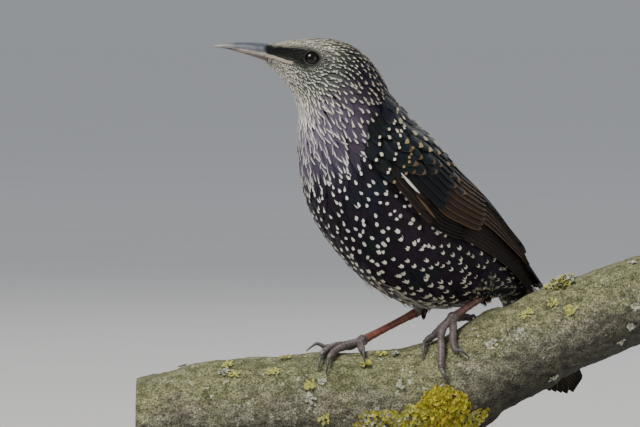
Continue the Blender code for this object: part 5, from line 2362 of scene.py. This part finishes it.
@dataclass(frozen=True)
class Lichen:
    """Leafy and crusty lichens on the perch."""

    seed: int = 41
    patches: tuple[LichenPatch, ...] = (
        LichenPatch(15.0, 105.0, 10.0, 24.0, 520, (Tone.YELLOW,) * 5 + (Tone.ORANGE,), 1.7, 2.0),
        LichenPatch(6.0, 113.0, 12.0, 22.0, 420, (Tone.YELLOW, Tone.GREEN_YELLOW), 1.6, 1.8),
        LichenPatch(-8.0, 112.0, 11.0, 20.0, 380, (Tone.GREEN_YELLOW, Tone.YELLOW, Tone.PALE_CRUST), 1.6),
        LichenPatch(23.0, 132.0, 6.0, 10.0, 130, (Tone.YELLOW, Tone.GREEN_YELLOW), 1.5, 1.3),
        LichenPatch(72.6, 14.0, 5.0, 15.0, 90, (Tone.PALE_CRUST, Tone.GREEN_YELLOW), 2.4, 2.6),
        LichenPatch(-36.5, 63.0, 2.2, 5.0, 24, (Tone.GREEN_YELLOW,), 1.3, 0.5),
        LichenPatch(-6.2, 20.0, 2.4, 5.0, 22, (Tone.GREEN_YELLOW,), 1.3, 0.6),
        LichenPatch(-13.0, 38.0, 2.4, 4.0, 20, (Tone.YELLOW, Tone.GREEN_YELLOW), 1.3, 0.6),
        LichenPatch(0.8, 22.0, 1.6, 4.0, 14, (Tone.PALE_CRUST,), 1.2, 0.4),
    )
    crusts: int = 46

    def scattered(self, rng: np.random.Generator) -> tuple[LichenPatch, ...]:
        """Small pale crusts over the whole perch.

        Args:
            rng: The source of the random draws.

        Returns:
            The patches.
        """
        tones = (Tone.PALE_CRUST, Tone.PALE_CRUST, Tone.GREEN_YELLOW)
        ranges = ((-102.0, 100.0), (-150.0, 150.0), (0.8, 2.6))
        drawn = zip(*(rng.uniform(*ends, self.crusts) for ends in ranges))
        return tuple(
            LichenPatch(x, angle, size, size * 2.4, int(10 * size), (tones[i % 3],), 1.2, 0.25)
            for i, (x, angle, size) in enumerate(drawn)
        )

    def build(self) -> None:
        """Every lobe, in one piece."""
        rng = np.random.default_rng(self.seed)
        lobe = Vane(3, 4, full=0.3, taper=0.35, roundness=2.2, narrow=0.5, thickness=0.3)
        lobes = FeatherMesh("lichen", lobe)
        ground = PERCH.ground
        for patch in self.patches + self.scattered(rng):
            way, out = rng.uniform(0, math.tau, patch.count), np.sqrt(rng.uniform(0, 1, patch.count))
            x = patch.x + patch.half_long * out * np.cos(way)
            tones = np.array([tone.linear for tone in patch.tones])
            tone = tones[rng.integers(0, len(tones), patch.count)]
            tone = tone * rng.uniform(0.65, 1.2, (patch.count, 1))
            mound = patch.rise * (1 - 0.7 * out**2)
            flock = Flock(
                place=PERCH.place_at(x),
                angle=patch.angle + patch.half_round * out * np.sin(way),
                length=patch.size * rng.uniform(0.7, 1.2, patch.count),
                half_width=patch.size * rng.uniform(0.3, 0.55, patch.count),
                heading=rng.uniform(-180, 180, patch.count),
                root_height=mound * rng.uniform(-0.2, 0.5, patch.count) - 0.2,
                tip_height=mound * rng.uniform(0.6, 1.3, patch.count) + 0.15,
                base=tone,
                tip=tone,
                edge=tone,
                mark=WHOLE_MARK,
                fringe=0.0,
                curl=rng.normal(0, 30, patch.count),
            )
            lobes.lay(ground, flock, cup=-0.45)
        lobes.build(LichenFinish().make(), "perch")


@dataclass(frozen=True)
class Toe:
    """A toe laid over the perch, as places along it, angles from its top and heights over it."""

    name: str
    path: tuple
    claw: tuple


@dataclass(frozen=True)
class Leg:
    """One leg: the thigh's top, the ankle, the foot's joint and its toes."""

    side: str
    hip: tuple
    ankle: tuple
    joint: tuple
    thigh_radii: tuple
    toes: tuple[Toe, ...]
    tone: tuple[float, float, float]
    foot_tone: tuple[float, float, float] = (0.145, 0.112, 0.105)
    pale_front: float = 0.0
    tarsus_radius: float = 1.65
    toe_radius: float = 1.65
    claw_radius: float = 0.95
    claw_arch: float = 1.3
    shin_plates: int = 9
    toe_plates: int = 13
    shin_ways: tuple = (-0.05, 0.1, 0.3, 0.6, 0.85, 1.0)
    shin_girths: tuple = (1.25, 1.15, 0.95, 0.9, 1.0, 1.15)
    toe_girths: tuple = (1.3, 1.15, 1.0, 1.05, 0.92, 1.0, 0.88, 0.95, 0.85, 0.62)
    claw_girths: tuple = (1.0, 0.95, 0.85, 0.7, 0.52, 0.35, 0.12)
    seed: int = 31

    @cached_property
    def thigh(self) -> Loft:
        """The thigh's surface, from the hip to the ankle."""
        middle = tuple((a + b) / 2 for a, b in zip(self.hip, self.ankle))
        points = smooth_path([self.hip, middle, self.ankle], 7)
        radii = np.interp(np.linspace(0, 3, 8), range(4), self.thigh_radii)
        return Loft.along(points, list(radii))

    def thigh_skin(self) -> BMesh:
        """The thigh under its feathers."""
        return self.thigh.tube(28, 20, -0.9, 0.15)

    def trousers(self, material: Material) -> None:
        """The soft feathers of the thigh.

        Args:
            material: Their finish.
        """
        rng = np.random.default_rng(self.seed)
        places, angles = [], []
        rows = np.linspace(0.2, self.thigh.last - 0.35, 9)
        for row, place in enumerate(rows):
            count = max(8, round(self.thigh.girth(place) / 2.2))
            places.append(np.full(count, place))
            angles.append(staggered(count, row) + rng.normal(0, 3, count))
        place, angle = np.concatenate(places), np.concatenate(angles)
        count = len(place)
        low = place / self.thigh.last
        base = Tone.SOOT.linear * rng.uniform(0.8, 1.5, (count, 1))
        tip = Tone.OLIVE_CREAM.linear * rng.uniform(0.1, 0.9, (count, 1))
        front = self.pale_front * smoothstep(90, 50, from_back(angle))[:, None]
        base = base + front * np.array(Tone.DOWN.linear) * 0.8
        flock = Flock(
            place=place,
            angle=angle,
            length=blend(6.5, 3.6, low) * rng.uniform(0.85, 1.15, count),
            half_width=blend(1.7, 0.9, low),
            heading=rng.normal(0, 9.0, count),
            root_height=-0.7,
            tip_height=rng.uniform(0.1, 0.7, count),
            base=base,
            tip=tip,
            edge=tip,
            mark=(0.75, -0.3, 0.5),
            fringe=0.0,
            curl=rng.normal(0, 10.0, count),
        )
        soft = Vane(2, 6, taper=0.4, roundness=1.5, thickness=0.08)
        feathers = FeatherMesh("trousers_" + self.side, soft)
        feathers.lay(self.thigh, flock)
        feathers.build(material, "plumage_body")

    def shin(self) -> None:
        """The scaled tarsus, with large plates in front and small scales behind."""
        joint, ankle = Vector(self.joint), Vector(self.ankle)
        points = [ankle + (joint - ankle) * t for t in self.shin_ways]
        radii = [self.tarsus_radius * girth for girth in self.shin_girths]
        limb = Loft.along(points, radii)

        def place_of(across: Array, along: Array) -> Array:
            """The surface's points, from 0..1 across and along."""
            saw = (along * self.shin_plates) % 1
            front = 0.5 - 0.5 * np.cos(across * math.tau)
            rise = (0.16 * saw - 0.1) * front + 0.05 * np.abs(np.sin(along * 60)) * (1 - front)
            return limb.point(along * limb.last, across * 360, rise, domed(along, 0.04))

        bm = wrapped(28, 160, place_of)
        item = self.scaled("tarsus_scales_" + self.side, bm, self.shin_plates, self.tone)
        Piece.register(item, "leg", ("tarsus_" + self.side,))

    @staticmethod
    def spread(girths: tuple, radius: float, count: int) -> list[float]:
        """Radii at even steps along a limb, from a few shares of one radius."""
        last = len(girths) - 1
        return list(np.interp(np.linspace(0, last, count), range(last + 1), np.array(girths) * radius))

    @staticmethod
    def scaled(name: str, bm: BMesh, plates: int, tone: tuple) -> bpy.types.Object:
        """A scaled piece whose grooves lie between its plates.

        Args:
            name: Its name.
            bm: The shape, in millimetres.
            plates: How many plates lie along it.
            tone: Its colour.

        Returns:
            The object.
        """
        layer = bm.verts.layers.float["along"]
        groove = [max(0.0, 1 - ((vertex[layer] * plates) % 1) / 0.16) for vertex in bm.verts]
        second, low = (tuple(share * part for part in tone) for share in (0.6, 0.22))
        finish = ScaleFinish(name, tone, second, low)
        item = Piece.from_bmesh(name, bm, [finish.make()], 60)
        Piece.paint(item.data, "Groove", "FLOAT", np.array(groove))
        return item

    def foot(self) -> None:
        """The foot's joint and its toes, each with plates above and pads below."""
        whole = bmesh.new()
        whole.verts.layers.float.new("along")
        for toe in self.toes:
            points = [self.joint] + [tuple(PERCH.over(*knot)) for knot in toe.path]
            path = smooth_path(points, 18)
            limb = Loft.along(path, self.spread(self.toe_girths, self.toe_radius, len(path)))

            def place_of(across: Array, along: Array, limb: Loft = limb) -> Array:
                """The surface's points, from 0..1 across and along."""
                top = 0.5 + 0.5 * np.cos(across * math.tau)
                saw = (along * self.toe_plates) % 1
                pad = np.abs(np.sin(along * math.pi * 4)) * (1 - top)
                rise = (0.17 * saw - 0.1) * top + 0.22 * pad - 0.1
                return limb.point(along * limb.last, across * 360, rise, domed(along, 0.05))

            joined(whole, wrapped(20, 120, place_of))
        ball = bmesh.new()
        layer = ball.verts.layers.float.new("along")
        bmesh.ops.create_icosphere(ball, subdivisions=4, radius=self.toe_radius * 1.45)
        for vertex in ball.verts:
            vertex[layer] = 0.04
        bmesh.ops.translate(ball, vec=self.joint, verts=ball.verts)
        joined(whole, ball)
        item = self.scaled("toes_" + self.side, whole, self.toe_plates, self.foot_tone)
        Piece.register(item, "foot", ("foot_" + self.side,))

    def claws(self, material: Material) -> None:
        """The curved claws.

        Args:
            material: Their finish.
        """
        for toe in self.toes:
            x, angle, height = toe.path[-1]
            start = Vector(PERCH.over(x, angle, height))
            halfway = [blend(toe.path[-1][i], toe.claw[i], 0.45) for i in (0, 1)]
            arch = Vector(PERCH.over(*halfway, height + self.claw_arch))
            tip = Vector(PERCH.over(*toe.claw, 0.75))
            path = smooth_path([tuple(start), tuple(arch), tuple(tip)], 14)
            limb = Loft.along(path, self.spread(self.claw_girths, self.claw_radius, len(path)))
            bm = limb.tube(16, 40, ends=0.04)
            item = Piece.from_bmesh(f"nail_{toe.name}_{self.side}", bm, [material])
            length = (tip - start).length
            away = [(vertex.co / MM - start).length / length for vertex in item.data.vertices]
            dark = smoothstep(0.0, 1.0, np.array(away))[:, None]
            tone = CLAW_ROOT * (1 - dark) + CLAW_TIP * dark
            Piece.paint(item.data, "Horn", "FLOAT_COLOR", tone)
            Piece.register(item, "claw", (f"claw_{toe.name}_{self.side}",))

    def build(self, soft: Material, horn: Material) -> None:
        """The whole leg but for its skin.

        Args:
            soft: The finish of the thigh's feathers.
            horn: The finish of the claws.
        """
        self.trousers(soft)
        self.shin()
        self.foot()
        self.claws(horn)


RIGHT_LEG = Leg(
    "right",
    (13.0, 19.0, 100.0),
    (8.8, 14.8, 86.5),
    (-15.2, 8.0, 74.4),
    (8.0, 7.0, 5.2, 3.0),
    (
        Toe("inner", ((-19.0, -2.0, 2.6), (-25.0, 12.0, 2.0), (-29.0, 29.0, 1.9)), (-30.2, 53.0)),
        Toe("middle", ((-20.0, -7.0, 3.0), (-27.5, 3.0, 2.2), (-32.0, 22.0, 1.9)), (-33.4, 47.0)),
        Toe("outer", ((-20.0, -17.0, 2.8), (-26.0, -16.0, 2.2), (-31.0, -13.0, 2.4)), (-38.5, -9.0)),
        Toe("hind", ((-16.4, -4.0, 3.0), (-16.0, 9.0, 2.0), (-15.6, 20.0, 1.9)), (-14.6, 38.0)),
    ),
    (0.290, 0.100, 0.062),
    pale_front=1.0,
)
LEFT_LEG = Leg(
    "left",
    (28.5, 1.5, 102.5),
    (35.2, 3.4, 93.4),
    (21.5, -7.0, 84.6),
    (7.0, 7.8, 6.4, 3.8),
    (
        Toe("inner", ((16.8, 18.0, 5.0), (13.6, 16.0, 2.6), (10.2, 19.0, 1.9)), (9.0, 45.0)),
        Toe("middle", ((17.0, 24.0, 4.8), (16.6, 46.0, 2.2), (16.4, 64.0, 1.9)), (19.7, 82.0)),
        Toe("outer", ((21.6, 22.0, 3.8), (21.4, 37.0, 2.2), (22.2, 51.0, 1.9)), (27.8, 65.0)),
        Toe("hind", ((24.0, 4.0, 3.6), (26.8, -8.0, 2.2), (29.0, -22.0, 1.9)), (33.0, -42.0)),
    ),
    (0.215, 0.100, 0.085),
)


@dataclass(frozen=True)
class Stand:
    """The display stand, whose solids stay and get their finishes."""

    def dress(self) -> None:
        """Give the base and the rods their materials."""
        wood, metal = LacquerFinish().make(), MetalFinish().make()
        for node, finish in (("stand_base", wood), ("stand_rod_left", metal), ("stand_rod_right", metal)):
            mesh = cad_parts[node].data
            mesh.materials.clear()
            mesh.materials.append(finish)


@dataclass(frozen=True)
class Studio:
    """The floor, the lights and the camera."""

    target: tuple[float, float, float] = (-32.8, 0.0, 126.9)
    distance: float = 2400.0
    elevation: float = 2.0
    pixel: float = 0.41
    width_px: float = 640.0
    sensor: float = 36.0
    sky_tone: tuple = (0.80, 0.84, 0.90, 1.0)
    sky_strength: float = 0.38

    def floor(self) -> None:
        """A pale floor that reaches far behind the stand."""
        bm = bmesh.new()
        bmesh.ops.create_grid(bm, x_segments=1, y_segments=1, size=30000.0)
        floor = Piece.from_bmesh("floor", bm, [PaperFinish().make()])
        if floor.data.polygons[0].normal.z < 0:
            floor.data.flip_normals()

    def camera(self) -> None:
        """The camera at the photo's angle."""
        lens = self.distance / self.pixel / self.width_px * self.sensor
        data = bpy.data.cameras.new("camera")
        data.lens = lens
        data.sensor_width = self.sensor
        data.clip_end = 50.0
        camera = bpy.data.objects.new("camera", data)
        tilt = math.radians(self.elevation)
        away = Vector((0.0, math.cos(tilt), -math.sin(tilt)))
        camera.location = (Vector(self.target) - away * self.distance) * MM
        camera.rotation_euler = (math.radians(90 - self.elevation), 0.0, 0.0)
        bpy.context.scene.collection.objects.link(camera)
        bpy.context.scene.camera = camera

    def lamp(self, name: str, place: tuple, size: float, watts: float, tone: tuple) -> None:
        """A square soft light that faces the bird.

        Args:
            name: Its name.
            place: Where it is, in metres.
            size: Its side, in metres.
            watts: Its power.
            tone: Its colour.
        """
        data = bpy.data.lights.new(name, "AREA")
        data.size = size
        data.energy = watts
        data.color = tone
        item = bpy.data.objects.new(name, data)
        item.location = place
        aim = Vector(self.target) * MM - Vector(place)
        item.rotation_euler = aim.to_track_quat("-Z", "Y").to_euler()
        bpy.context.scene.collection.objects.link(item)

    def lights(self) -> None:
        """A broad light from above and the left, a fill and a soft world."""
        self.lamp("key", (-0.7, -1.0, 1.6), 0.7, 44.0, (1.0, 0.97, 0.92))
        self.lamp("fill", (1.3, -1.2, 0.5), 1.2, 7.0, (0.95, 0.97, 1.0))
        self.lamp("back", (0.5, 1.3, 1.1), 1.0, 6.0, (1.0, 1.0, 1.0))
        world = bpy.data.worlds.new("studio")
        world.use_nodes = True
        sky = world.node_tree.nodes["Background"]
        sky.inputs["Color"].default_value = self.sky_tone
        sky.inputs["Strength"].default_value = self.sky_strength
        bpy.context.scene.world = world

    def build(self) -> None:
        """Set up the studio."""
        self.floor()
        self.lights()
        self.camera()


def main() -> None:
    """Build the studio and every piece of the model."""
    logging.basicConfig(level=logging.INFO, format="%(name)s: %(message)s")
    Studio().build()
    Stand().dress()
    looks = (
        PlumageFinish("plumage_body", barbs=22.0, purple=0.6, gloss=0.5),
        PlumageFinish("plumage_fine", 9.0, 0.4, gloss=0.0, roughness=0.5, relief=0.06),
        PlumageFinish("plumage_flight", 70.0, 0.15, gloss=0.1),
        PlumageFinish("plumage_gloss", 26.0, purple=0.3, gloss=0.25, roughness=0.42, specular=0.25),
    )
    body, fine, flight, gloss = (look.make() for look in looks)
    horn = HornFinish("claw_horn", 0.3).make()
    legs = (LEFT_LEG, RIGHT_LEG)
    cover = BodyCover()
    cover.skin(legs)
    cover.coat(body, fine)
    for name, side in (("left", 1), ("right", -1)):
        wing = Wing(name, side, seed=11 + 5 * side)
        wing.pad(SkinFinish().make())
        wing.flight(flight)
        wing.coverts(gloss)
    tail = Tail()
    tail.build(flight)
    tail.coverts(flight)
    Bill().build()
    Eyes().build()
    PERCH.build()
    Lichen().build()
    for leg in legs:
        leg.build(body, horn)


if __name__ == "__main__":
    main()
